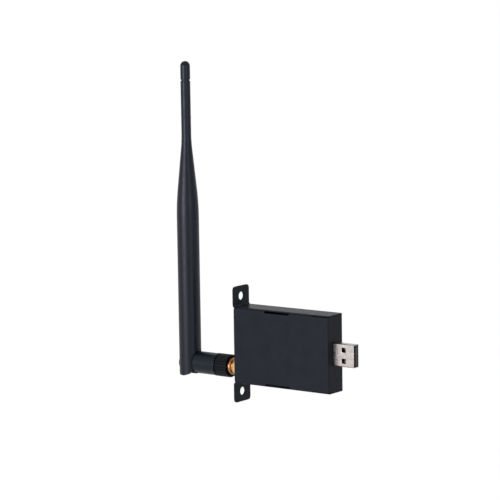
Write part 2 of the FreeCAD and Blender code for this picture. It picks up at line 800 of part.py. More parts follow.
def make_coupling():
    """The aerial's coupling nut, with the knurled sleeve round it."""
    thread = "jack_thread + coupling_thread_gap"
    keep("coupling_nut", turned(
        "coupling_nut", ("coupling_right", thread), ("coupling_right", "coupling_radius"),
        ("coupling_left", "coupling_radius"),
        ("coupling_left", "coupling_neck"), ("coupling_step", "coupling_neck"), ("coupling_step", thread)))

    sleeve = turned("knurled_sleeve", ("sleeve_left", "sleeve_bore"), ("sleeve_left", "sleeve_radius"),
                    ("sleeve_right", "sleeve_radius"), ("sleeve_right", "sleeve_recess"),
                    ("sleeve_right - sleeve_recess_depth", "sleeve_recess"),
                    ("sleeve_right - sleeve_recess_depth", "sleeve_bore"))
    flute = new_sketch(sleeve, "YZ_Plane")
    outline(flute, ("0 - knurl_depth", "sleeve_radius + knurl_depth / 2"),
            ("line", "0", "sleeve_radius - knurl_depth"),
            ("line", "knurl_depth", "sleeve_radius + knurl_depth / 2"),
            ("line", "0 - knurl_depth", "sleeve_radius + knurl_depth / 2"))
    cut = extrude(sleeve, flute, None, cut=True, symmetric=True)
    knurl = sleeve.newObject("PartDesign::PolarPattern", "sleeve_knurl")
    knurl.Originals = [cut]
    axis = [feature for feature in sleeve.Origin.OriginFeatures if feature.Role == "X_Axis"][0]
    knurl.Axis = (axis, [""])
    knurl.Angle = 360
    knurl.setExpression("Occurrences", bound("knurl_count"))
    sleeve.Tip = knurl
    document.recompute()
    keep("knurled_sleeve", sleeve)


def make_insert():
    """The aerial's own half of the connector: a body whose collar keeps the nut on, insulator and pin."""
    rear_bore = "coax_radius + insert_fit"
    bore_end = "insert_right - insert_insulator_length"
    nose_end = "jack_end - insert_seat"
    keep("insert_body", turned(
        "insert_body", ("insert_right", "jack_bore"), ("insert_right", "insert_nose"),
        (nose_end, "insert_nose"), (nose_end, "collar_radius"), ("collar_left", "collar_radius"),
        ("collar_left", "insert_radius"), ("insert_left", "insert_radius"), ("insert_left", rear_bore),
        (bore_end, rear_bore), (bore_end, "jack_bore")))
    keep("insert_insulator", turned(
        "insert_insulator", ("insert_right", "pin_radius"), ("insert_right", "jack_bore - insert_fit"),
        (bore_end, "jack_bore - insert_fit"), (bore_end, "pin_radius")))
    tip = "insert_right + pin_reach"
    keep("insert_pin", turned("insert_pin", ("pin_left", "0"), ("pin_left", "pin_radius"),
                              (tip, "pin_radius"), (tip, "0")))
    keep("base_coax", turned(
        "base_coax", ("base_left - base_coax_end", "0"), ("base_left - base_coax_end", "coax_radius"),
        ("pin_left", "coax_radius"), ("pin_left", "0")))


def make_swivel_base():
    """The barrel that turns on the connector, with the flat tongue of the knuckle on its end."""
    body = new_body("swivel_base")
    socket = "insert_radius + insert_fit"
    barrel = new_sketch(body, "XZ_Plane")
    lip = "base_radius + base_lip_rise"
    outline(barrel, ("base_left", "0"),
            ("line", "base_left", "base_radius"),
            ("line", "base_right - 2 * base_lip_width", "base_radius"),
            ("line", "base_right - base_lip_width", lip),
            ("line", "base_right", lip),
            ("line", "base_right", "base_spigot_radius"),
            ("line", "base_right + base_spigot_length", "base_spigot_radius"),
            ("line", "base_right + base_spigot_length", socket),
            ("line", "insert_left - insert_fit", socket),
            ("line", "insert_left - insert_fit", "0"),
            ("line", "base_left", "0"))
    revolve(body, barrel)

    # the tongue ends in a round about the pivot, which lies a little below the barrel's own axis
    pivot = ("pivot_x", "0 - knuckle_offset")
    top = "tongue_radius - knuckle_offset"
    low = "0 - tongue_radius - knuckle_offset"
    tongue = new_sketch(body, "XZ_Plane")
    outline(tongue, ("base_left", low), ("line", "base_left", top), ("line", "pivot_x", top),
            ("arc", "pivot_x", low, *pivot), ("line", "base_left", low))
    extrude(body, tongue, "tongue_wide", symmetric=True)

    channel = new_sketch(body, "XZ_Plane")
    rectangle(channel, "base_left - base_coax_end - seam", "insert_left", "0", "base_channel")
    revolve(body, channel, cut=True)

    sockets = new_sketch(body, "XZ_Plane", "tongue_wide / 2")
    circle(sockets, *pivot, "boss_radius + boss_gap")
    dent = extrude(body, sockets, "boss_height", cut=True)
    mirrored(body, [dent], "XZ_Plane")
    keep("swivel_base", place(body, z="axis_level"))


def mast_tangent():
    """Where the straight taper leaves the shoulder's arc and meets the neck's arc."""
    low, high = value("mast_radius"), value("mast_top_radius")
    shoulder, neck = value("mast_shoulder"), value("mast_neck")
    wide, narrow = value("mast_shoulder_round"), value("mast_neck_round")
    across, along = high + narrow - low + wide, neck - shoulder
    lean = math.atan2(along, across) - math.acos((wide + narrow) / math.hypot(across, along))
    leave = (low - wide + wide * math.cos(lean), shoulder + wide * math.sin(lean))
    meet = (high + narrow - narrow * math.cos(lean), neck - narrow * math.sin(lean))
    return leave, meet


def make_mast():
    """The aerial's hollow mast, drawn about its own pivot level: a fork, a straight run and a taper."""
    body = new_body("mast")
    leave, meet = mast_tangent()
    skin = new_sketch(body, "XZ_Plane")
    outline(skin, ("0", "0 - fork_reach"),
            ("line", "mast_radius", "0 - fork_reach"),
            ("line", "mast_radius", "mast_shoulder"),
            ("arc", *leave, "mast_radius - mast_shoulder_round", "mast_shoulder"),
            ("line", *meet),
            ("back_arc", "mast_top_radius", "mast_neck", "mast_top_radius + mast_neck_round", "mast_neck"),
            ("line", "mast_top_radius", "mast_length"),
            ("line", "0", "mast_length"),
            ("line", "0", "0 - fork_reach"))
    revolve(body, skin, "V_Axis")

    bore = new_sketch(body, "XZ_Plane")
    outline(bore, ("0", "mast_floor"), ("line", "mast_bore", "mast_floor"),
            ("line", "mast_bore", "mast_bore_straight"), ("line", "mast_bore_top", "mast_bore_straight"),
            ("line", "mast_bore_top", "mast_length + cap_fit"), ("line", "0", "mast_length + cap_fit"),
            ("line", "0", "mast_floor"))
    revolve(body, bore, "V_Axis", cut=True)

    # the slot that takes the swivel base's tongue, open at the foot and on the base's side
    ceiling = "tongue_radius + knuckle_gap"
    pivot = ("0 - knuckle_offset", "0")
    beyond = "2 * mast_radius"
    slot = new_sketch(body, "XZ_Plane")
    outline(slot, (f"0 - {beyond}", f"0 - {beyond}"), ("line", beyond, f"0 - {beyond}"),
            ("line", beyond, ceiling), ("line", "0 - knuckle_offset", ceiling),
            ("arc", f"0 - knuckle_offset - ({ceiling})", "0", *pivot),
            ("line", f"0 - {beyond}", "0"), ("line", f"0 - {beyond}", f"0 - {beyond}"))
    extrude(body, slot, "2 * slot_half", cut=True, symmetric=True)

    # the cheeks' outline: a round about the pivot beside the base, and a softer outer corner
    cheeks = new_sketch(body, "XZ_Plane")
    step_top = "fork_rise + mast_radius - fork_side"
    outline(cheeks, ("0 - knuckle_offset", "0 - fork_reach"),
            ("arc", "fork_side", "0", *pivot),
            ("line", "fork_side", "fork_rise"),
            ("line", "mast_radius", step_top),
            ("line", beyond, step_top),
            ("line", beyond, f"0 - {beyond}"),
            ("line", "0 - knuckle_offset", f"0 - {beyond}"),
            ("line", "0 - knuckle_offset", "0 - fork_reach"))
    outline(cheeks, ("fork_corner - mast_radius", "0 - fork_reach"),
            ("line", "fork_corner - mast_radius", f"0 - {beyond}"),
            ("line", f"0 - {beyond}", f"0 - {beyond}"),
            ("line", f"0 - {beyond}", "fork_corner - fork_reach"),
            ("line", "0 - mast_radius", "fork_corner - fork_reach"),
            ("arc", "fork_corner - mast_radius", "0 - fork_reach",
             "fork_corner - mast_radius", "fork_corner - fork_reach"))
    extrude(body, cheeks, None, cut=True, symmetric=True)

    # a boss on each cheek snaps into the tongue's hollow and carries the hinge
    boss = new_sketch(body, "XZ_Plane", "slot_half")
    circle(boss, *pivot, "boss_radius")
    pad = extrude(body, boss, "boss_height + knuckle_gap - boss_gap", reverse=True)
    mirrored(body, [pad], "XZ_Plane")

    # the feed passes through the floor of the bore
    gland = new_sketch(body, "XZ_Plane")
    rectangle(gland, "0", "coax_radius + feed_fit", f"{ceiling} - seam", "mast_floor + seam")
    revolve(body, gland, "V_Axis", cut=True)
    keep("mast", place(body, x="mast_x", z="pivot_z"))


def mast_piece(name, *points):
    """A turned piece on the mast's axis: the first values are heights above the pivot."""
    turn = (FreeCAD.Vector(0, 1, 0), -90)
    return turned(name, *points, x="mast_x", z="pivot_z", turn=turn)


def make_mast_pieces():
    """The domed cap and the conductors that the mast holds."""
    dome_foot = "cap_base + cap_head - mast_top_radius"
    dome = [(f"{dome_foot} + mast_top_radius * sin({angle})", f"mast_top_radius * cos({angle})")
            for angle in (0, 30, 60)]
    keep("tip_cap", mast_piece("tip_cap", ("mast_length - cap_spigot", "0"),
                               ("mast_length - cap_spigot", "mast_bore_top - cap_fit"),
                               ("cap_base", "mast_bore_top - cap_fit"), ("cap_base", "mast_top_radius"),
                               *dome, (f"{dome_foot} + mast_top_radius", "0")))
    floor = "tongue_radius + knuckle_gap + seam"
    keep("mast_coax", mast_piece("mast_coax", (floor, "0"), (floor, "coax_radius"),
                                 ("feed_top", "coax_radius"), ("feed_top", "0")))
    keep("whip_wire", mast_piece("whip_wire", ("feed_top", "0"), ("feed_top", "whip_radius"),
                                 ("whip_top", "whip_radius"), ("whip_top", "0")))


make_case_shell()
make_rear_cover()
make_cover_screws()
make_circuit_board()
make_plug()
make_board_parts()
make_jack()
make_jack_nut()
make_coupling()
make_insert()
make_swivel_base()
make_mast()
make_mast_pieces()

document.recompute()
for item in document.Objects:
    if "Invalid" in item.State or "Error" in item.State:
        raise ValueError(f"{item.Label} could not be worked out: {item.State}")
for node, item in nodes.items():
    if item.Shape.isNull() or not item.Shape.isValid() or not item.Shape.Solids:
        raise ValueError(f"{node} has no valid solid")
for node, item in nodes.items():
    item.Shape.exportStep(f"parts/{node}.step")
    box = item.Shape.BoundBox
    print(f"{node:18s} {len(item.Shape.Solids)} solid {item.Shape.Volume:10.2f} mm3 "
          f"x {box.XMin:8.2f} {box.XMax:8.2f} y {box.YMin:6.2f} {box.YMax:6.2f} "
          f"z {box.ZMin:7.2f} {box.ZMax:7.2f}")
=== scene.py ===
import json
import math

import bmesh
import bpy
from bpy.props import FloatProperty, FloatVectorProperty, IntProperty, PointerProperty
from mathutils import Matrix, Vector


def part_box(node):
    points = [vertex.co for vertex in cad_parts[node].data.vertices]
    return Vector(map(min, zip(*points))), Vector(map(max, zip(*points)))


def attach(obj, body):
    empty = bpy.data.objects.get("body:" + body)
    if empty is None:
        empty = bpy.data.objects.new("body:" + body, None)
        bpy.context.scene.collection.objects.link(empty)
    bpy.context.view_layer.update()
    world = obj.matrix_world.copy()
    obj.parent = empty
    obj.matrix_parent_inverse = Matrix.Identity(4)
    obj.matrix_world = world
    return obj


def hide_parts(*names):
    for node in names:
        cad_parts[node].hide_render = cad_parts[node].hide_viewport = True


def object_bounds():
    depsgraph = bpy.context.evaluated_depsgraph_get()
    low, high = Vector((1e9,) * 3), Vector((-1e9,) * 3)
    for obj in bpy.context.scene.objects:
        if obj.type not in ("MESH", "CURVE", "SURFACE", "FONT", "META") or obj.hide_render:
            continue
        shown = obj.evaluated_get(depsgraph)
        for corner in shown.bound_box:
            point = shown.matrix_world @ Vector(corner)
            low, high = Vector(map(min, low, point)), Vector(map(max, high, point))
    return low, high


bl_info = {
    "name": "Wireless Adapter with Swivel Aerial",
    "version": (1, 0, 0),
    "blender": (4, 5, 0),
    "location": "View3D > Sidebar > Adapter",
    "description": "Dresses the folded-steel wireless adapter: case, plug, radio connector and "
                   "swivelling aerial",
    "category": "Object",
}

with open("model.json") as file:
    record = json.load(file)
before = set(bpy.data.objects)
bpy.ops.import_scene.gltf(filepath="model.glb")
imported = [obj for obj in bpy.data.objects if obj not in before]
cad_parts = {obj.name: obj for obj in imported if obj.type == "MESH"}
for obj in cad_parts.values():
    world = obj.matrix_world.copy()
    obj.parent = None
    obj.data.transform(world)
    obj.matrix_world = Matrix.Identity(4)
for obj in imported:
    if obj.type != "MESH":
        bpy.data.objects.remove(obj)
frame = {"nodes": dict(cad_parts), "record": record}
cad_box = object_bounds()

MM = 0.001
SHARP = 35.0  # an edge that turns by more degrees than this is sharp
RECORD = frame["record"]
BODY_OF = {node: body for body, members in RECORD["behaviour"]["bodies"].items() for node in members}

# Places of the connector's axis and the knuckle's pivot, in millimetres
JOINTS = {joint["name"]: Vector(joint["pos_m"]) / MM for joint in RECORD["behaviour"]["joints"]}
AXIS_Z = JOINTS["coupling_turn"].z
PIVOT = JOINTS["antenna_tilt"]
MAST_OFFSET = 0.85  # from the pivot to the mast's axis, towards the case


# Making, cutting and shading meshes

def add_object(name, mesh):
    piece = bpy.data.objects.new(name, mesh)
    bpy.context.scene.collection.objects.link(piece)
    return piece


def shade(piece, angle=SHARP, weight=60):
    """Shades a piece smooth up to an angle in degrees.

    The weight is how much the larger faces count in the normals, and 0 leaves it out.
    """
    mesh = piece.data
    mesh.shade_smooth()
    mesh.set_sharp_from_angle(angle=math.radians(angle))
    if weight:
        modifier = piece.modifiers.new("even normals", "WEIGHTED_NORMAL")
        modifier.keep_sharp = True
        modifier.weight = weight
    return piece


def from_bmesh(name, shape):
    bmesh.ops.recalc_face_normals(shape, faces=shape.faces)
    mesh = bpy.data.meshes.new(name)
    shape.to_mesh(mesh)
    shape.free()
    return add_object(name, mesh)


def made_plain(piece):
    """Turns what the modifiers give into the piece's own mesh."""
    bpy.context.view_layer.update()
    graph = bpy.context.evaluated_depsgraph_get()
    mesh = bpy.data.meshes.new_from_object(piece.evaluated_get(graph), depsgraph=graph)
    piece.modifiers.clear()
    piece.data = mesh
    return piece


def carved(piece, tool, operation="DIFFERENCE"):
    """Cuts a tool out of a piece, or joins or intersects the two, and takes the tool away."""
    modifier = piece.modifiers.new("carve", "BOOLEAN")
    modifier.object = tool
    modifier.operation = operation
    modifier.solver = "EXACT"
    made_plain(piece)
    bpy.data.objects.remove(tool)
    return piece


def eased(points, radius):
    """Rounds the corners of a closed profile. A point may carry its own radius as a third value."""
    steps = 4
    most = 0.45  # the share of an edge that one corner may take
    narrowest = 0.05  # half the angle, in radians, of the narrowest corner that is rounded
    flat = [Vector(point[:2]) for point in points]
    result = []
    for number, point in enumerate(points):
        corner = flat[number]
        size = point[2] if len(point) > 2 else radius
        if size <= 0:
            result.append(tuple(corner))
            continue
        before, after = flat[number - 1] - corner, flat[(number + 1) % len(points)] - corner
        half = before.angle(after) / 2
        reach = 0
        if half > narrowest:
            reach = min(size / math.tan(half), most * before.length, most * after.length)
        start, end = corner + before.normalized() * reach, corner + after.normalized() * reach
        for step in range(steps + 1):
            share = step / steps
            bend = start * (1 - share) ** 2 + corner * 2 * share * (1 - share) + end * share ** 2
            result.append(tuple(bend))
    return result


def arc_points(centre, radius, begin, end, steps):
    """Points on an arc between two angles in degrees."""
    turn = [math.radians(begin + (end - begin) * step / steps) for step in range(steps + 1)]
    return [(centre[0] + radius * math.cos(angle), centre[1] + radius * math.sin(angle)) for angle in turn]


def lathe(name, profile, axis="X", place=(0.0, 0.0, 0.0), segments=96):
    """Turns a closed profile of (along, radius) pairs in millimetres round an axis through a place."""
    on_axis = 1e-6  # a smaller radius gives one vertex instead of a ring
    shape = bmesh.new()
    rings = []
    for along, radius in profile:
        ring = []
        for step in range(segments):
            angle = 2 * math.pi * step / segments
            across, rise = radius * math.cos(angle), radius * math.sin(angle)
            point = (along, across, rise) if axis == "X" else (across, rise, along)
            if axis == "Y":
                point = (across, along, rise)
            ring.append(shape.verts.new((Vector(point) + Vector(place)) * MM))
            if radius < on_axis:
                break
        rings.append(ring)
    for number, ring in enumerate(rings):
        other = rings[(number + 1) % len(rings)]
        if len(ring) == 1 and len(other) == 1:
            continue
        for step in range(segments):
            follow = (step + 1) % segments
            if len(ring) == 1:
                shape.faces.new((ring[0], other[step], other[follow]))
            elif len(other) == 1:
                shape.faces.new((ring[step], other[0], ring[follow]))
            else:
                shape.faces.new((ring[step], other[step], other[follow], ring[follow]))
    return from_bmesh(name, shape)


def turned(name, profile, segments=96):
    """Turns a profile round the connector's axis."""
    return lathe(name, profile, "X", (0, 0, AXIS_Z), segments)


def ring_sizes(box):
    """The ends and the radius, in millimetres, of what lies round the connector's axis."""
    low, high = box
    return low.x / MM, high.x / MM, (high.z - low.z) / 2 / MM


def rod(low, high, radius):
    """The profile of a plain cylinder between two places on its axis."""
    return [(low, 0), (low, radius), (high, radius), (high, 0)]


def prism(name, outline, low, high, place=(0.0, 0.0, 0.0)):
    """A prism along Y over an outline of (x, z) pairs in millimetres."""
    shape = bmesh.new()
    move = Vector(place)
    ends = [[shape.verts.new((Vector((x, y, z)) + move) * MM) for x, z in outline] for y in (low, high)]
    shape.faces.new(ends[0])
    shape.faces.new(list(reversed(ends[1])))
    for number in range(len(outline)):
        follow = (number + 1) % len(outline)
        shape.faces.new((ends[0][number], ends[1][number], ends[1][follow], ends[0][follow]))
    return from_bmesh(name, shape)


def slab(name, low, high, ease):
    """A block between two corners in millimetres, with its edges rounded by the ease."""
    shape = bmesh.new()
    bmesh.ops.create_cube(shape, size=1.0)
    low, high = Vector(low), Vector(high)
    for vertex in shape.verts:
        share = vertex.co + Vector((0.5, 0.5, 0.5))
        vertex.co = Vector([(low[i] + (high[i] - low[i]) * share[i]) * MM for i in range(3)])
    if ease:
        bmesh.ops.bevel(shape, geom=shape.edges[:], offset=ease * MM, segments=3, affect="EDGES", profile=0.5)
    return from_bmesh(name, shape)


def joined(first, *others):
    """Adds the meshes of other pieces to the first one."""
    shape = bmesh.new()
    shape.from_mesh(first.data)
    for other in others:
        shape.from_mesh(other.data)
        bpy.data.objects.remove(other)
    shape.to_mesh(first.data)
    shape.free()
    return first


def edge_weights(shape):
    """Marks the sharp edges to be rounded, apart from those at a vertex where two meet at a narrow angle."""
    layer = shape.edges.layers.float.new("bevel_weight_edge")
    limit, narrow = math.radians(SHARP), math.radians(40)
    sharp = {edge for edge in shape.edges if len(edge.link_faces) == 2 and edge.calc_face_angle(0.0) > limit}
    awkward = set()
    for vertex in shape.verts:
        meeting = [edge for edge in vertex.link_edges if edge in sharp]
        ways = [(edge.other_vert(vertex).co - vertex.co).normalized() for edge in meeting]
        if any(one.angle(other) < narrow for one in ways for other in ways if one is not other):
            awkward.add(vertex)
    for edge in sharp:
        if not awkward.intersection(edge.verts):
            edge[layer] = 1.0


def flattened(piece):
    """Makes a piece plain, and gives each face that looks along an axis its own normal at every corner."""
    straight = 0.99999  # the least part of a unit normal that lies along the axis
    mesh = made_plain(piece).data
    normals = [corner.vector.copy() for corner in mesh.corner_normals]
    for face in mesh.polygons:
        if max(abs(part) for part in face.normal) > straight:
            for corner in face.loop_indices:
                normals[corner] = face.normal.copy()
    mesh.normals_split_custom_set(normals)
    return piece


def bevelled(piece, width, method):
    """Rounds the edges that a method picks, by a width in metres."""
    modifier = piece.modifiers.new("edges", "BEVEL")
    modifier.width = width
    modifier.segments = 3
    modifier.limit_method = method
    return modifier


def rounded(piece, width):
    """Rounds the marked edges of a piece by a width in metres, and shades it."""
    bevelled(piece, width, "WEIGHT").use_clamp_overlap = False
    return flattened(shade(piece))


def rounded_copy(node, name, width, quads=True):
    """A merged copy of a CAD node whose sharp edges are rounded.

    Faces with many sides are cut up first, because one that runs round an opening would be filled across it.
    """
    merge_distance = 2e-7  # metres
    level, same_plane = math.radians(0.4), math.radians(1)
    shape = bmesh.new()
    shape.from_mesh(frame["nodes"][node].data)
    bmesh.ops.remove_doubles(shape, verts=shape.verts, dist=merge_distance)
    bmesh.ops.dissolve_limit(shape, angle_limit=level, verts=shape.verts, edges=shape.edges)
    bmesh.ops.triangulate(shape, faces=[face for face in shape.faces if len(face.verts) > 4])
    if quads:
        bmesh.ops.join_triangles(shape, faces=[face for face in shape.faces if len(face.verts) == 3],
                                 angle_face_threshold=same_plane, angle_shape_threshold=math.pi)
    bmesh.ops.recalc_face_normals(shape, faces=shape.faces)
    edge_weights(shape)
    return rounded(from_bmesh(name, shape), width)


def stands_for(piece, node, material):
    """Gives a piece its finish, its body and the node that it takes the place of."""
    piece.data.materials.clear()
    piece.data.materials.append(material)
    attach(piece, BODY_OF[node])
    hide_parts(node)
    return piece


def finish_nodes(material, *nodes):
    """Gives CAD nodes that keep their shape a finish."""
    for node in nodes:
        mesh = frame["nodes"][node].data
        mesh.materials.clear()
        mesh.materials.append(material)


# Node trees

def new_tree(name, *inputs):
    tree = bpy.data.node_groups.new(name, "GeometryNodeTree")
    for title, kind in (("Geometry", "Geometry"), *inputs):
        tree.interface.new_socket(title, in_out="INPUT", socket_type="NodeSocket" + kind)
    tree.interface.new_socket("Geometry", in_out="OUTPUT", socket_type="NodeSocketGeometry")
    return tree, tree.nodes.new("NodeGroupInput"), tree.nodes.new("NodeGroupOutput")


def supply(tree, entry, socket):
    """Links an output to an input, or gives the input a plain value."""
    if isinstance(entry, bpy.types.NodeSocket):
        tree.links.new(entry, socket)
    else:
        socket.default_value = entry


def add_node(tree, kind, **entries):
    """Adds a node, with outputs or plain values for its inputs by their titles."""
    node = tree.nodes.new(kind)
    for title, entry in entries.items():
        supply(tree, entry, node.inputs[title.replace("_", " ")])
    return node


def calc(tree, operation, *values):
    """A math node whose inputs are sockets or plain numbers."""
    node = tree.nodes.new("ShaderNodeMath")
    node.operation = operation
    for entry, socket in zip(values, node.inputs):
        supply(tree, entry, socket)
    return node.outputs[0]


def product(tree, result, *factors):
    for factor in factors:
        result = calc(tree, "MULTIPLY", result, factor)
    return result


def run_tree(piece, tree, **settings):
    """Runs a tree on a piece with inputs by their titles, and makes the result plain."""
    modifier = piece.modifiers.new(tree.name, "NODES")
    modifier.node_group = tree
    for item in tree.interface.items_tree:
        title = item.name.lower().replace(" ", "_")
        if item.in_out == "INPUT" and title in settings:
            modifier[item.identifier] = settings[title]
    return made_plain(piece)


def close_tree(tree, geometry, entry, leave):
    """Ends a tree in plain geometry with its material."""
    realize = add_node(tree, "GeometryNodeRealizeInstances", Geometry=geometry)
    paint = add_node(tree, "GeometryNodeSetMaterial", Geometry=realize.outputs["Geometry"],
                     Material=entry.outputs["Material"])
    tree.links.new(paint.outputs["Geometry"], leave.inputs["Geometry"])
    return tree


def flute_ring_tree():
    """Repeats one flute of the knurl all the way round the connector's axis."""
    tree, entry, leave = new_tree("flute ring", ("Flutes", "Int"), ("Axis Place", "Vector"),
                                  ("Material", "Material"))
    merge_distance = 5e-7  # metres
    points = add_node(tree, "GeometryNodePoints", Count=entry.outputs["Flutes"])
    index = add_node(tree, "GeometryNodeInputIndex")
    turns = product(tree, index.outputs[0], 2 * math.pi)
    spin = add_node(tree, "ShaderNodeCombineXYZ", X=calc(tree, "DIVIDE", turns, entry.outputs["Flutes"]))
    place = add_node(tree, "GeometryNodeInstanceOnPoints", Points=points.outputs[0],
                     Instance=entry.outputs["Geometry"], Rotation=spin.outputs[0])
    solid = add_node(tree, "GeometryNodeRealizeInstances", Geometry=place.outputs[0])
    merge = add_node(tree, "GeometryNodeMergeByDistance", Geometry=solid.outputs[0], Distance=merge_distance)
    move = add_node(tree, "GeometryNodeTransform", Geometry=merge.outputs[0],
                    Translation=entry.outputs["Axis Place"])
    return close_tree(tree, move.outputs[0], entry, leave)


def thread_tree():
    """Presses a screw thread's grooves into a turned barrel that lies along X."""
    tree, entry, leave = new_tree("screw thread", ("Pitch", "Float"), ("Depth", "Float"), ("Start", "Float"),
                                  ("End", "Float"), ("Core", "Float"), ("Axis Height", "Float"),
                                  ("Material", "Material"))
    position = add_node(tree, "GeometryNodeInputPosition")
    split = add_node(tree, "ShaderNodeSeparateXYZ", Vector=position.outputs[0])
    rise = calc(tree, "SUBTRACT", split.outputs["Z"], entry.outputs["Axis Height"])
    turn = calc(tree, "DIVIDE", calc(tree, "ARCTAN2", rise, split.outputs["Y"]), 2 * math.pi)
    along = calc(tree, "DIVIDE", split.outputs["X"], entry.outputs["Pitch"])
    # a triangle wave, 0 on the crest and 0.5 in the root, whose flanks end in a flat root with a soft corner
    flank, soft = 2.4, 0.2
    wave = calc(tree, "PINGPONG", calc(tree, "ADD", along, turn), 0.5)
    groove = calc(tree, "SMOOTH_MIN", product(tree, wave, flank), 1.0, soft)
    past_start = calc(tree, "GREATER_THAN", split.outputs["X"], entry.outputs["Start"])
    before_end = calc(tree, "LESS_THAN", split.outputs["X"], entry.outputs["End"])
    reach = calc(tree, "SQRT", calc(tree, "ADD", calc(tree, "POWER", rise, 2.0),
                                    calc(tree, "POWER", split.outputs["Y"], 2.0)))
    outside = calc(tree, "GREATER_THAN", reach, entry.outputs["Core"])
    mask = product(tree, past_start, before_end, outside)
    press = product(tree, groove, entry.outputs["Depth"], mask)
    share = calc(tree, "DIVIDE", press, reach)
    offset = add_node(tree, "ShaderNodeCombineXYZ", Y=product(tree, split.outputs["Y"], share, -1.0),
                      Z=product(tree, rise, share, -1.0))
    move = add_node(tree, "GeometryNodeSetPosition", Geometry=entry.outputs["Geometry"],
                    Offset=offset.outputs[0])
    return close_tree(tree, move.outputs[0], entry, leave)


# Finishes

def texture(tree, scale, stretch=(1, 1, 1), detail=3.0):
    """A noise on Object coordinates: its output runs from 0 to 1."""
    coordinate = add_node(tree, "ShaderNodeTexCoord")
    mapping = add_node(tree, "ShaderNodeMapping", Scale=stretch, Vector=coordinate.outputs["Object"])
    noise = add_node(tree, "ShaderNodeTexNoise", Scale=scale, Detail=detail, Vector=mapping.outputs["Vector"])
    return noise.outputs["Fac"]


def between(tree, driver, low, high, near=0.3, far=0.7):
    """Runs from low to high while the driver runs from near to far."""
    node = add_node(tree, "ShaderNodeMapRange", Value=driver, From_Min=near, From_Max=far,
                    To_Min=low, To_Max=high)
    return node.outputs["Result"]


def surface(name, colour, roughness, metallic=0.0, specular=0.5, patch=(120.0, 0.12), gloss=(300.0, 0.06),
            grain=None, brushed=None, tint=(1.0, 1.0, 1.0)):
    """A finish whose colour, gloss and relief vary over the piece.

    patch and gloss are (scale per metre, amount); grain and brushed are (scale, depth in metres, strength),
    and brushed also has the stretch of its marks. tint is the colour of what the finish reflects.
    """
    material = bpy.data.materials.get(name) or bpy.data.materials.new(name)
    material.use_nodes = True
    tree = material.node_tree
    tree.nodes.clear()
    shader = add_node(tree, "ShaderNodeBsdfPrincipled", Metallic=metallic, Specular_IOR_Level=specular,
                      Specular_Tint=(*tint, 1.0))
    add_node(tree, "ShaderNodeOutputMaterial", Surface=shader.outputs["BSDF"])

    mix = tree.nodes.new("ShaderNodeMix")
    mix.data_type = "RGBA"
    # the mix node's sockets for colours
    share, first, second, mixed = mix.inputs[0], mix.inputs[6], mix.inputs[7], mix.outputs[2]
    patch_scale, patch_amount = patch
    low = [channel * (1 - patch_amount) for channel in colour]
    high = [min(1.0, channel * (1 + patch_amount)) for channel in colour]
    first.default_value = (*low, 1.0)
    second.default_value = (*high, 1.0)
    tree.links.new(between(tree, texture(tree, patch_scale), 0.0, 1.0), share)
    tree.links.new(mixed, shader.inputs["Base Color"])

    gloss_scale, gloss_amount = gloss
    noise = texture(tree, gloss_scale, detail=5.0)
    dull = between(tree, noise, roughness - gloss_amount, roughness + gloss_amount)
    tree.links.new(dull, shader.inputs["Roughness"])

    normal = None
    for marks in (grain, brushed):
        if not marks:
            continue
        scale, depth, strength, *stretch = marks
        height = texture(tree, scale, *stretch)
        bump = add_node(tree, "ShaderNodeBump", Distance=depth, Strength=strength, Height=height)
        if normal:
            tree.links.new(normal, bump.inputs["Normal"])
        normal = bump.outputs["Normal"]
    if normal:
        tree.links.new(normal, shader.inputs["Normal"])
    return material


def powder_coat():
    case = bpy.context.scene.adapter_case
    return surface("black powder coat", case.coat_colour, case.coat_roughness, specular=case.coat_gloss,
                   patch=(160.0, 0.1), gloss=(500.0, 0.05), grain=(3200.0, 0.00002, 0.55))


def screw_zinc():
    return surface("blackened screw steel", (0.05, 0.05, 0.055), 0.35, metallic=1.0,
                   grain=(5000.0, 0.00001, 0.3))


def smooth_moulding(name, colour, specular, tint):
    return surface(name, colour, bpy.context.scene.adapter_aerial.plastic_roughness, specular=specular,
                   patch=(90.0, 0.1), gloss=(260.0, 0.04), grain=(2600.0, 0.00002, 0.5), tint=tint)


def aerial_moulding():
    aerial = bpy.context.scene.adapter_aerial
    return smooth_moulding("moulded aerial plastic", aerial.plastic_colour, aerial.plastic_gloss,
                           aerial.plastic_tint)


def base_moulding():
    aerial = bpy.context.scene.adapter_aerial
    # the swivel base is the same plastic as the mast, and its darker colour is painted shade
    return smooth_moulding("swivel base plastic with painted shade", aerial.base_colour_with_painted_shade, aerial.base_gloss, aerial.base_tint)


def sleeve_moulding():
    aerial = bpy.context.scene.adapter_aerial
    return surface("knurled sleeve plastic", aerial.sleeve_colour, aerial.plastic_roughness + 0.1,
                   specular=aerial.sleeve_gloss, grain=(3000.0, 0.00003, 0.6), tint=aerial.plastic_tint)


def gold_plating():
    # the plating's orange hue is its own, and its darkness is painted shade for the dark surroundings that it
    # reflects
    colour = bpy.context.scene.adapter_connector.gold_colour_with_painted_shade
    return surface("gold plating with painted shade", colour, 0.27, metallic=1.0, patch=(400.0, 0.08), gloss=(900.0, 0.06),
                   grain=(1500.0, 0.00001, 0.15), brushed=(900.0, 0.00002, 0.25, (6, 0.3, 0.3)))


def plug_plating():
    colour = bpy.context.scene.adapter_plug.steel_colour
    return surface("plug plating", colour, 0.3, metallic=1.0, patch=(200.0, 0.06), gloss=(500.0, 0.06),
                   brushed=(700.0, 0.00001, 0.3, (0.12, 1, 3)))


def plug_moulding():
    return surface("plug tongue moulding", (0.0085, 0.009, 0.0108), 0.4, grain=(2500.0, 0.00002, 0.4))


def board_resist():
    return surface("board solder resist", (0.006, 0.026, 0.016), 0.4, patch=(600.0, 0.2),
                   grain=(900.0, 0.00003, 0.4))


def tinned_sheet():
    return surface("tinned sheet", (0.6, 0.6, 0.59), 0.28, metallic=1.0, grain=(700.0, 0.00002, 0.3),
                   brushed=(900.0, 0.00001, 0.2, (0.2, 1, 2)))


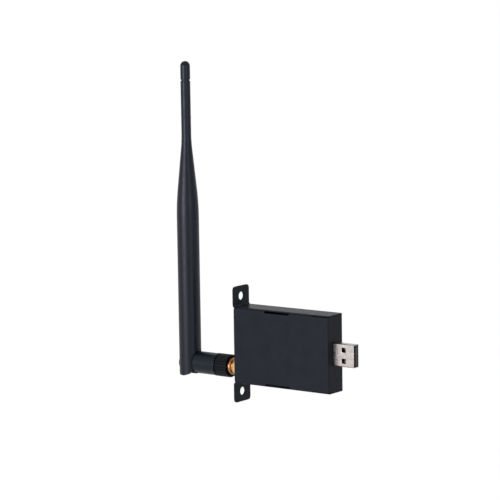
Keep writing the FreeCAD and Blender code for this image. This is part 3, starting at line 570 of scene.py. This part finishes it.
def chip_epoxy():
    return surface("chip epoxy", (0.018, 0.018, 0.02), 0.5, grain=(6000.0, 0.00001, 0.5))


def coil_ferrite():
    return surface("coil ferrite", (0.06, 0.06, 0.064), 0.6, grain=(4000.0, 0.00003, 0.6))


def capacitor_ceramic():
    return surface("capacitor ceramic", (0.42, 0.28, 0.15), 0.35, patch=(1500.0, 0.15),
                   grain=(5000.0, 0.00001, 0.3))


def connector_insulator():
    return surface("connector insulator", (0.8, 0.8, 0.78), 0.45, patch=(500.0, 0.04),
                   grain=(2500.0, 0.00001, 0.3))


def coax_sheath():
    return surface("coax sheath", (0.14, 0.045, 0.02), 0.35, grain=(2000.0, 0.00001, 0.3))


def drawn_brass():
    return surface("drawn brass wire", (0.66, 0.43, 0.19), 0.28, metallic=1.0,
                   brushed=(1500.0, 0.00001, 0.4, (3, 3, 0.05)))


# Settings

class CaseSettings(bpy.types.PropertyGroup):
    edge_round: FloatProperty(
        name="Sheet Edge Round", description="Radius of the coated sheet's cut edges",
        default=0.00014, min=0.00002, max=0.0004, precision=5, unit="LENGTH")
    coat_colour: FloatVectorProperty(
        name="Coat Colour", description="Colour of the powder coat",
        default=(0.0127, 0.015, 0.0213), subtype="COLOR", min=0.0, max=1.0)
    coat_roughness: FloatProperty(
        name="Coat Roughness", description="How dull the powder coat is",
        default=0.38, min=0.0, max=1.0, subtype="FACTOR")
    coat_gloss: FloatProperty(
        name="Coat Gloss", description="How much the powder coat reflects",
        default=0.06, min=0.0, max=1.0, subtype="FACTOR")
    cross_width: FloatProperty(
        name="Cross Width", description="Width of the cover screws' cross recess",
        default=0.00052, min=0.0001, max=0.002, precision=5, unit="LENGTH")


class PlugSettings(bpy.types.PropertyGroup):
    edge_round: FloatProperty(
        name="Plug Edge Round", description="Radius of the plug's stamped edges",
        default=0.00008, min=0.00001, max=0.0003, precision=5, unit="LENGTH")
    steel_colour: FloatVectorProperty(
        name="Plug Colour", description="Colour of the plug's plated shell",
        default=(0.372, 0.343, 0.334), subtype="COLOR", min=0.0, max=1.0)


class ConnectorSettings(bpy.types.PropertyGroup):
    thread_pitch: FloatProperty(
        name="Thread Pitch", description="Distance from one thread to the next",
        default=0.000706, min=0.0002, max=0.002, precision=6, unit="LENGTH")
    thread_depth: FloatProperty(
        name="Thread Depth", description="Depth of the thread's grooves",
        default=0.0003, min=0.0, max=0.001, precision=6, unit="LENGTH")
    nut_chamfer: FloatProperty(
        name="Nut Chamfer", description="How far the nut's corners are turned off",
        default=0.00035, min=0.0, max=0.001, precision=6, unit="LENGTH")
    # orange hue of the plating's own, darkened as painted shade for the dark surroundings that the plating
    # reflects
    gold_colour_with_painted_shade: FloatVectorProperty(
        name="Plating Colour", description="Colour of the connector's plating",
        default=(0.63, 0.365, 0.165), subtype="COLOR", min=0.0, max=1.0)


class AerialSettings(bpy.types.PropertyGroup):
    flutes: IntProperty(
        name="Flutes", description="Number of flutes round the knurled sleeve",
        default=24, min=8, max=72)
    flute_depth: FloatProperty(
        name="Flute Depth", description="Depth of the sleeve's flutes",
        default=0.0003, min=0.0, max=0.001, precision=6, unit="LENGTH")
    edge_round: FloatProperty(
        name="Moulded Edge Round", description="Radius of the mouldings' edges",
        default=0.00025, min=0.00005, max=0.001, precision=6, unit="LENGTH")
    plastic_colour: FloatVectorProperty(
        name="Plastic Colour", description="Colour of the aerial's plastic",
        default=(0.0042, 0.0052, 0.0098), subtype="COLOR", min=0.0, max=1.0)
    plastic_roughness: FloatProperty(
        name="Plastic Roughness", description="How dull the aerial's plastic is",
        default=0.4, min=0.0, max=1.0, subtype="FACTOR")
    plastic_gloss: FloatProperty(
        name="Plastic Gloss", description="How much the aerial's plastic reflects",
        default=0.225, min=0.0, max=1.0, subtype="FACTOR")
    plastic_tint: FloatVectorProperty(
        name="Plastic Tint", description="Colour of what the plastic reflects",
        default=(0.82, 0.84, 1.0), subtype="COLOR", min=0.0, max=1.0)
    # darker than the plastic colour, though the swivel base is the same plastic: the difference is painted
    # shade
    base_colour_with_painted_shade: FloatVectorProperty(
        name="Base Colour", description="Colour of the swivel base",
        default=(0.0026, 0.0052, 0.0092), subtype="COLOR", min=0.0, max=1.0)
    base_gloss: FloatProperty(
        name="Base Gloss", description="How much the swivel base reflects",
        default=0.2, min=0.0, max=1.0, subtype="FACTOR")
    base_tint: FloatVectorProperty(
        name="Base Tint", description="Colour of what the swivel base reflects",
        default=(0.78, 0.86, 1.0), subtype="COLOR", min=0.0, max=1.0)
    sleeve_colour: FloatVectorProperty(
        name="Sleeve Colour", description="Colour of the knurled sleeve",
        default=(0.004, 0.0042, 0.0065), subtype="COLOR", min=0.0, max=1.0)
    sleeve_gloss: FloatProperty(
        name="Sleeve Gloss", description="How much the knurled sleeve reflects",
        default=0.1, min=0.0, max=1.0, subtype="FACTOR")


class StageSettings(bpy.types.PropertyGroup):
    azimuth: FloatProperty(
        name="Azimuth", description="The camera's angle round the adapter",
        default=math.radians(36.5630), subtype="ANGLE", unit="ROTATION")
    elevation: FloatProperty(
        name="Elevation", description="The camera's angle above the floor",
        default=math.radians(7.7224), subtype="ANGLE", unit="ROTATION")
    roll: FloatProperty(
        name="Roll", description="The camera's turn about its own line of sight",
        default=math.radians(0.8649), subtype="ANGLE", unit="ROTATION")
    distance: FloatProperty(
        name="Distance", description="How far the camera stands from its target",
        default=1.25757, min=0.1, unit="LENGTH")
    lens: FloatProperty(
        name="Lens", description="The camera's focal length in millimetres on a 36 mm sensor",
        default=172.701, min=10.0, max=500.0)
    target: FloatVectorProperty(
        name="Target", description="The point that the camera looks at",
        default=(0.006939, 0.0, 0.0502337), subtype="XYZ", unit="LENGTH")
    floor_colour: FloatVectorProperty(
        name="Floor Colour", description="Colour of the plain floor",
        default=(0.86, 0.86, 0.86), subtype="COLOR", min=0.0, max=1.0)
    ambient: FloatProperty(
        name="Ambient", description="Strength of the even light from all round",
        default=0.3, min=0.0, max=2.0)
    key_power: FloatProperty(
        name="Key Light", description="Power of the large soft light on the left",
        default=6.2, min=0.0, unit="POWER")
    fill_power: FloatProperty(
        name="Fill Light", description="Power of the soft light on the right",
        default=1.35, min=0.0, unit="POWER")


# The case

class ADAPTER_OT_case(bpy.types.Operator):
    """Dress the two folded sheets of the case"""
    bl_idname = "adapter.case"
    bl_label = "Case Sheets"

    def execute(self, context):
        width = context.scene.adapter_case.edge_round
        coat = powder_coat()
        sheets = (("case_shell", "case_front_sheet", False), ("rear_cover", "case_rear_sheet", True))
        for node, name, quads in sheets:
            stands_for(rounded_copy(node, name, width, quads), node, coat)
        return {"FINISHED"}


class ADAPTER_OT_cover_screws(bpy.types.Operator):
    """Make the countersunk screws of the rear cover, with their cross recesses"""
    bl_idname = "adapter.cover_screws"
    bl_label = "Cover Screws"

    def execute(self, context):
        low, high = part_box("cover_screws")
        radius = (high.x - low.x) / 2 / MM
        middle = (low.x + high.x) / 2 / MM
        face, tip = high.y / MM, low.y / MM
        half = context.scene.adapter_case.cross_width / MM / 2
        point, shank, head = 0.7, 0.95, 0.85
        arm, recess = 1.05, 0.55
        screws = []
        for number, level in enumerate((high.z / MM - radius, low.z / MM + radius), start=1):
            profile = eased([(tip, 0, 0), (tip, point), (tip + 0.3, shank), (face - head, shank),
                             (face - 0.06, radius), (face, radius - 0.08), (face, 0, 0)], 0.04)
            screw = lathe(f"cover_screw_{number}", profile, "Y", (middle, 0, level), 48)
            for long, wide in ((arm, half), (half, arm)):
                carved(screw, slab("cross", (middle - long, face - recess, level - wide),
                                   (middle + long, face + 1, level + wide), 0))
            screws.append(screw)
        piece = joined(*screws)
        piece.name = "cover_screw_pair"
        stands_for(shade(piece), "cover_screws", screw_zinc())
        return {"FINISHED"}


class ADAPTER_OT_board(bpy.types.Operator):
    """Finish the circuit board and the parts soldered to it"""
    bl_idname = "adapter.board"
    bl_label = "Circuit Board"

    def execute(self, context):
        finish_nodes(board_resist(), "circuit_board")
        finish_nodes(tinned_sheet(), "shield_can", "crystal")
        finish_nodes(chip_epoxy(), "radio_chip", "memory_chip", "regulator", "resistors")
        finish_nodes(coil_ferrite(), "power_coil")
        finish_nodes(capacitor_ceramic(), "capacitors")
        return {"FINISHED"}


class ADAPTER_OT_plug(bpy.types.Operator):
    """Dress the plug's shell, its tongue and its contacts"""
    bl_idname = "adapter.plug"
    bl_label = "Plug"

    def execute(self, context):
        width = context.scene.adapter_plug.edge_round
        pieces = (("plug_shell", "plug_sheet_shell", width, plug_plating()),
                  ("plug_tongue", "plug_moulded_tongue", 2 * width, plug_moulding()),
                  ("plug_contacts", "plug_contact_strips", width / 2, gold_plating()))
        for node, name, ease, finish in pieces:
            stands_for(rounded_copy(node, name, ease), node, finish)
        return {"FINISHED"}


# The radio connector

class ADAPTER_OT_jack(bpy.types.Operator):
    """Make the threaded jack with its nut and washer"""
    bl_idname = "adapter.jack"
    bl_label = "Threaded Jack"

    def execute(self, context):
        connector = context.scene.adapter_connector
        gold = gold_plating()
        low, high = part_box("jack_body")
        leg_reach = 5.5
        end, flange = low.x / MM, high.x / MM - leg_reach

        # the barrel, with eight rows of vertices to a turn of the thread
        thread, tip, lead_in = 3.175, 2.95, 0.25
        mouth, bore, step, core = 2.3, 2.05, -7.5, 2.8
        pitch = connector.thread_pitch / MM
        rows = int((flange - end) / (pitch / 8))
        skin = [(end + lead_in + (flange - end - lead_in) * row / rows, thread) for row in range(rows + 1)]
        inside = flange + 0.2
        profile = [(end, mouth), (end, tip), *skin, (inside, thread), (inside, bore), (step, bore),
                   (step, mouth)]
        barrel = turned("jack_threaded_barrel", profile, 48)
        run_tree(barrel, thread_tree(), pitch=connector.thread_pitch, depth=connector.thread_depth,
                 start=(end + 0.2) * MM, end=0.0, core=core * MM, axis_height=AXIS_Z * MM, material=gold)

        # the plate at the barrel's end, with four legs
        half, thick, leg = 3.2, 1.5, 0.9
        plate = slab("flange", (flange, -half, AXIS_Z - half), (flange + thick, half, AXIS_Z + half), 0.12)
        carved(plate, turned("bore", rod(0, 4, 2.07), 48))
        legs = []
        for y in (-0.53, 2.13):
            for z in (AXIS_Z + 2.3, AXIS_Z - 3.2):
                legs.append(slab("leg", (flange + 1.45, y, z), (flange + leg_reach, y + leg, z + leg), 0.1))
        piece = joined(barrel, plate, *legs)
        stands_for(shade(piece, 50), "jack_body", gold)

        # the nut, whose corners a cone at 30 degrees to its faces turns off
        low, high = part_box("jack_nut")
        left, right = low.x / MM, high.x / MM
        deep, tall = high.y - low.y, high.z - low.z
        corner = max(deep, tall) / 2 / MM
        turn = 0.0 if deep > tall else 30.0
        rough = [(left, 3.3), (left, corner), (right, corner), (right, 3.3)]
        hexagon = lathe("jack_hex_nut", rough, segments=6)
        hexagon.data.transform(Matrix.Rotation(math.radians(turn), 4, "X"))
        hexagon.data.transform(Matrix.Translation((0, 0, AXIS_Z * MM)))
        off, slope = connector.nut_chamfer / MM, 0.577
        rise, clear = corner - 0.1, corner + 1
        rim = rise - off / slope
        cone = [(left, 0), (left, rim), (left + off, rise), (left + off, clear),
                (right - off, clear), (right - off, rise), (right, rim), (right, 0)]
        carved(hexagon, turned("turning", cone), "INTERSECT")
        hole = 3.26
        carved(hexagon, turned("bore", rod(left - 1, right + 1, hole), 64))
        stands_for(shade(hexagon, 20, 0), "jack_nut", gold)

        left, right, radius = ring_sizes(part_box("jack_washer"))
        ring = eased([(left, hole), (left, radius), (right, radius), (right, hole)], 0.12)
        stands_for(shade(turned("jack_ring_washer", ring)), "jack_washer", gold)
        finish_nodes(connector_insulator(), "jack_insulator", "insert_insulator")
        finish_nodes(gold, "jack_contact", "insert_body", "insert_pin")
        return {"FINISHED"}


class ADAPTER_OT_coupling(bpy.types.Operator):
    """Make the coupling nut and the knurled sleeve round it"""
    bl_idname = "adapter.coupling"
    bl_label = "Coupling"

    def execute(self, context):
        aerial = context.scene.adapter_aerial
        left, right, radius = ring_sizes(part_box("coupling_nut"))
        mouth, thread, throat, step = 3.6, 3.245, 2.7, right - 5.8
        profile = eased([(right, mouth, 0), (right, radius, 0.3), (left, radius), (left, throat),
                         (step, throat), (step, thread), (right - 0.35, thread)], 0.1)
        stands_for(shade(turned("coupling_gold_nut", profile)), "coupling_nut", gold_plating())

        left, right = ring_sizes(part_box("knurled_sleeve"))[:2]
        radius = 6.1
        depth = aerial.flute_depth / MM
        rim, hole, recess, recess_mouth, recess_end = 0.35, 4.54, 5.3, 5.36, right - 1.3
        # each point of the profile carries how deep the flute is there
        profile = [(left, hole, 0), (left, radius - rim, 0.3), (left + 0.1, radius - 0.12, 0.75),
                   (left + rim, radius, 1), (right - rim, radius, 1), (right - 0.1, radius - 0.12, 0.75),
                   (right, radius - rim, 0.3), (right, recess_mouth, 0), (right - 0.06, recess, 0),
                   (recess_end, recess, 0), (recess_end, hole, 0)]
        # half the valley's width as a share of one flute, and the curve of its sides
        steps, valley_share, valley_power = 10, 0.24, 1.3
        wedge = 2 * math.pi / aerial.flutes
        shape = bmesh.new()
        grid = []
        for column in range(steps + 1):
            share = column / steps - 0.5
            # flat lands with a rounded V between them
            valley = max(0.0, 1 - abs(share) / valley_share)
            fall = depth * valley ** valley_power
            across, rise = math.sin(wedge * share), math.cos(wedge * share)
            reaches = [(along, size - fall * weight) for along, size, weight in profile]
            grid.append([shape.verts.new(Vector((along, reach * across, reach * rise)) * MM)
                         for along, reach in reaches])
        for first, second in zip(grid, grid[1:]):
            for row in range(len(profile)):
                follow = (row + 1) % len(profile)
                shape.faces.new((first[row], first[follow], second[follow], second[row]))
        mesh = bpy.data.meshes.new("flute")
        shape.to_mesh(mesh)
        shape.free()
        sleeve = add_object("knurled_grip_sleeve", mesh)
        grip = sleeve_moulding()
        run_tree(sleeve, flute_ring_tree(), flutes=aerial.flutes, axis_place=(0.0, 0.0, AXIS_Z * MM),
                 material=grip)
        shape = bmesh.new()
        shape.from_mesh(sleeve.data)
        bmesh.ops.recalc_face_normals(shape, faces=shape.faces)
        shape.to_mesh(sleeve.data)
        shape.free()
        stands_for(shade(sleeve, 40), "knurled_sleeve", grip)
        return {"FINISHED"}


# The aerial

class ADAPTER_OT_swivel_base(bpy.types.Operator):
    """Make the barrel of the swivel with the knuckle's tongue"""
    bl_idname = "adapter.swivel_base"
    bl_label = "Swivel Base"

    def execute(self, context):
        ease = context.scene.adapter_aerial.edge_round / MM
        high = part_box("swivel_base")[1]
        left, barrel, neck_length, neck = -28.4, 5.925, 1.2, 4.2
        feed, insert, insert_end = 1.1, 2.54, -18.59
        lip, right = high.z / MM - AXIS_Z, high.x / MM - neck_length
        profile = eased([(left, feed, 0), (left, barrel, ease), (right - 2.6, barrel, 0.3),
                         (right - 1.3, lip, 0.3), (right, lip, 0.15), (right, neck, 0.05),
                         (right + neck_length, neck, 0.1), (right + neck_length, insert, 0.05),
                         (insert_end, insert, 0), (insert_end, feed, 0)], ease)
        base = turned("swivel_barrel", profile)

        # the knuckle's tongue, with a channel for the lead and a socket on each side for a boss
        half, ring, socket, socket_length = 2.7, 5.0, 1.66, 2.3
        outline = [(left + 0.4, PIVOT.z - ring), (left + 0.4, PIVOT.z + ring)]
        outline += arc_points((PIVOT.x, PIVOT.z), ring, 90, 270, 32)
        tongue = prism("tongue", outline, -half, half)
        carved(tongue, turned("channel", rod(left - 2.48, left + 3, feed), 32))
        for y in (-half - 1, half - 1.3):
            carved(tongue, lathe("socket", rod(y, y + socket_length, socket), "Y", (PIVOT.x, 0, PIVOT.z), 48))
        carved(base, tongue, "UNION")
        stands_for(shade(base), "swivel_base", base_moulding())
        return {"FINISHED"}


class ADAPTER_OT_mast(bpy.types.Operator):
    """Make the tapered mast with its fork"""
    bl_idname = "adapter.mast"
    bl_label = "Mast"

    def execute(self, context):
        ease = context.scene.adapter_aerial.edge_round / MM
        low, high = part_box("mast")
        place = (PIVOT.x + MAST_OFFSET, 0, PIVOT.z)
        foot, top = low.z / MM - PIVOT.z, high.z / MM - PIVOT.z

        # the outside is straight, follows two arcs that run into each other, and is straight again
        wide, narrow, shoulder, neck, round_low, round_high = 5.925, 2.6, 78.7, 123.7, 150.0, 85.0
        across, along = narrow + round_high - wide + round_low, neck - shoulder
        lean = math.atan2(along, across) - math.acos((round_low + round_high) / math.hypot(across, along))
        turn = math.degrees(lean)
        curve = [(z, r) for r, z in arc_points((wide - round_low, shoulder), round_low, 0, turn, 16)]
        curve += [(z, r) for r, z in arc_points((narrow + round_high, neck), round_high, 180 + turn, 180, 16)]
        rows = 24
        straight = [(foot + (shoulder - foot) * step / rows, wide) for step in range(1, rows)]
        lead, bore, bore_floor, bore_top, whip = 0.95, 4.4, 11, 82, 1.9
        profile = [(foot, lead), (foot, wide), *straight, *curve, (top - 0.25, narrow),
                   (top - 0.07, narrow - 0.07), (top, narrow - 0.25), (top, whip), (bore_top, whip),
                   (bore_top, bore), (bore_floor, bore), (bore_floor, lead)]
        mast = lathe("mast_moulding", profile, "Z", place)

        # the fork: a slot for the tongue, and cheeks cut round the pivot on both sides
        ceiling, far, gap = 5.3, 12.0, 3.0
        slot = [(-far, -far), (far, -far), (far, ceiling), (-MAST_OFFSET, ceiling)]
        slot += arc_points((-MAST_OFFSET, 0), ceiling, 90, 180, 16)[1:] + [(-far, 0)]
        carved(mast, prism("slot", slot, -gap, gap, place))
        reach, side, rise = 6.15, 5.3, 7.375
        shelf = rise + wide - side
        near = arc_points((-MAST_OFFSET, 0), reach, -90, 0, 20)
        near += [(side, rise), (wide, shelf), (far, shelf), (far, -far), (-MAST_OFFSET, -far)]
        carved(mast, prism("cheek", near, -far, far, place))
        corner = 3.8
        outer = [(corner - wide, -far), (-far, -far), (-far, corner - reach)]
        outer += arc_points((corner - wide, corner - reach), corner, 180, 270, 12)
        carved(mast, prism("corner", outer, -far, far, place))
        boss, boss_length = 1.6, 1.74
        for y in (-3.2, 1.46):
            end = y + boss_length
            profile = eased([(y, 0, 0), (y, boss), (end, boss), (end, 0, 0)], 0.15)
            carved(mast, lathe("boss", profile, "Y", (PIVOT.x, 0, PIVOT.z), 48), "UNION")
        bevelled(mast, ease * MM, "ANGLE").angle_limit = math.radians(40)
        stands_for(shade(mast), "mast", aerial_moulding())
        return {"FINISHED"}


class ADAPTER_OT_tip_cap(bpy.types.Operator):
    """Make the domed cap on the mast"""
    bl_idname = "adapter.tip_cap"
    bl_label = "Tip Cap"

    def execute(self, context):
        low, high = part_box("tip_cap")
        radius = (high.x - low.x) / 2 / MM
        foot, top = low.z / MM, high.z / MM
        spigot, collar = 1.85, 2.2
        head, rim = top - 9.85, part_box("mast")[1].z / MM + 0.02
        dome = [(z, r) for r, z in arc_points((0, top - radius), radius, 6, 84, 13)]
        profile = [(foot, 0), (foot, 1.6), (foot + 0.25, spigot), (rim, spigot), (rim, collar),
                   (head, collar), (head, radius - 0.22), (head + 0.06, radius - 0.07),
                   (head + 0.22, radius), (top - radius, radius), *dome, (top, 0)]
        cap = lathe("mast_tip_cap", profile, "Z", (PIVOT.x + MAST_OFFSET, 0, 0))
        stands_for(shade(cap), "tip_cap", aerial_moulding())
        return {"FINISHED"}


class ADAPTER_OT_feed(bpy.types.Operator):
    """Finish the conductors inside the swivel and the mast"""
    bl_idname = "adapter.feed"
    bl_label = "Aerial Feed"

    def execute(self, context):
        finish_nodes(coax_sheath(), "base_coax", "mast_coax")
        finish_nodes(drawn_brass(), "whip_wire")
        return {"FINISHED"}


# The stage

def direction(azimuth, elevation):
    """The way from the adapter to a place at these angles."""
    level = math.cos(elevation)
    return Vector((math.sin(azimuth) * level, -math.cos(azimuth) * level, math.sin(elevation)))


def seen(tree):
    """1 for what the camera sees, also in mirrors and through glass, and 0 for other light."""
    path = tree.nodes.new("ShaderNodeLightPath")
    direct = calc(tree, "MAXIMUM", path.outputs["Is Camera Ray"], path.outputs["Is Glossy Ray"])
    return calc(tree, "MAXIMUM", direct, path.outputs["Is Transmission Ray"])


def shown_white(tree, base, amount, strength):
    """Mixes plain white into a shader for what the camera sees, and leaves other light alone."""
    share = product(tree, seen(tree), amount)
    white = add_node(tree, "ShaderNodeEmission", Strength=strength)
    mix = add_node(tree, "ShaderNodeMixShader")
    for entry, socket in zip((share, base, white.outputs[0]), mix.inputs):
        tree.links.new(entry, socket)
    return mix.outputs[0]


class ADAPTER_OT_stage(bpy.types.Operator):
    """Set the floor, the light and the camera"""
    bl_idname = "adapter.stage"
    bl_label = "Stage"

    def execute(self, context):
        stage = context.scene.adapter_stage
        low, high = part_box("knurled_sleeve")
        level = low.z + high.z - cad_box[1][2]  # under the aerial when it swings below the case
        floor_radius, gap = 12.0, 0.00002
        shape = bmesh.new()
        bmesh.ops.create_circle(shape, cap_ends=True, segments=96, radius=floor_radius)
        for vertex in shape.verts:
            vertex.co.z = level - gap
        floor = from_bmesh("floor", shape)
        if floor.data.polygons[0].normal.z < 0:
            floor.data.flip_normals()
        paint = surface("plain floor", stage.floor_colour, 0.9, specular=0.1, patch=(3.0, 0.01),
                        gloss=(5.0, 0.02))
        tree = paint.node_tree
        whiteness, brightness = 0.86, 1.13
        white = shown_white(tree, tree.nodes["Principled BSDF"].outputs[0], whiteness, brightness)
        tree.links.new(white, tree.nodes["Material Output"].inputs["Surface"])
        floor.data.materials.append(paint)

        world = bpy.data.worlds.new("studio")
        world.use_nodes = True
        context.scene.world = world
        tree = world.node_tree
        backdrop = tree.nodes["Background"]
        tree.links.new(between(tree, seen(tree), stage.ambient, 1.0, 0.0, 1.0), backdrop.inputs["Strength"])
        backdrop.inputs["Color"].default_value = (1.0, 1.0, 1.0, 1.0)

        middle = Vector(stage.target)
        lift, away, height = 2.5, 0.9, 0.22
        for name, swing, power, width in (("key light", -46.0, stage.key_power, 0.4),
                                          ("fill light", 28.0, stage.fill_power, 0.24)):
            reach = direction(stage.azimuth + math.radians(swing), math.radians(lift))
            lamp = bpy.data.lights.new(name, "AREA")
            lamp.shape = "RECTANGLE"
            lamp.size = width
            lamp.size_y = height
            lamp.energy = power
            holder = bpy.data.objects.new(name, lamp)
            holder.location = middle + reach * away
            holder.rotation_euler = reach.to_track_quat("Z", "Y").to_euler()
            context.scene.collection.objects.link(holder)

        back = direction(stage.azimuth, stage.elevation)
        right = Vector((math.cos(stage.azimuth), math.sin(stage.azimuth), 0.0))
        up = back.cross(right)
        side = right * math.cos(stage.roll) - up * math.sin(stage.roll)
        crown = right * math.sin(stage.roll) + up * math.cos(stage.roll)
        camera = bpy.data.cameras.new("camera")
        camera.lens = stage.lens
        camera.sensor_width = 36.0
        camera.clip_end = 50.0
        holder = bpy.data.objects.new("camera", camera)
        turn = Matrix((side, crown, back)).transposed().to_4x4()
        holder.matrix_world = Matrix.Translation(middle + back * stage.distance) @ turn
        context.scene.collection.objects.link(holder)
        context.scene.camera = holder
        context.scene.view_settings.view_transform = "Standard"
        return {"FINISHED"}


# The add-on

OPERATORS = (ADAPTER_OT_case, ADAPTER_OT_cover_screws, ADAPTER_OT_board, ADAPTER_OT_plug,
             ADAPTER_OT_jack, ADAPTER_OT_coupling, ADAPTER_OT_swivel_base, ADAPTER_OT_mast,
             ADAPTER_OT_tip_cap, ADAPTER_OT_feed, ADAPTER_OT_stage)
SETTINGS = (("adapter_case", CaseSettings), ("adapter_plug", PlugSettings),
            ("adapter_connector", ConnectorSettings), ("adapter_aerial", AerialSettings),
            ("adapter_stage", StageSettings))


class ADAPTER_PT_pieces(bpy.types.Panel):
    """Lists the adapter's sizes, colours and pieces"""
    bl_label = "Adapter"
    bl_idname = "ADAPTER_PT_pieces"
    bl_space_type = "VIEW_3D"
    bl_region_type = "UI"
    bl_category = "Adapter"

    def draw(self, context):
        for title, group in SETTINGS:
            box = self.layout.box()
            settings = getattr(context.scene, title)
            for entry in group.__annotations__:
                box.prop(settings, entry)
        for operator in OPERATORS:
            self.layout.operator(operator.bl_idname)


def register():
    for title, group in SETTINGS:
        bpy.utils.register_class(group)
        setattr(bpy.types.Scene, title, PointerProperty(type=group))
    for item in (*OPERATORS, ADAPTER_PT_pieces):
        bpy.utils.register_class(item)


def unregister():
    for item in reversed((*OPERATORS, ADAPTER_PT_pieces)):
        bpy.utils.unregister_class(item)
    for title, group in reversed(SETTINGS):
        delattr(bpy.types.Scene, title)
        bpy.utils.unregister_class(group)


def main():
    register()
    for operator in OPERATORS:
        group, name = operator.bl_idname.split(".")
        getattr(getattr(bpy.ops, group), name)()


if __name__ == "__main__":
    main()
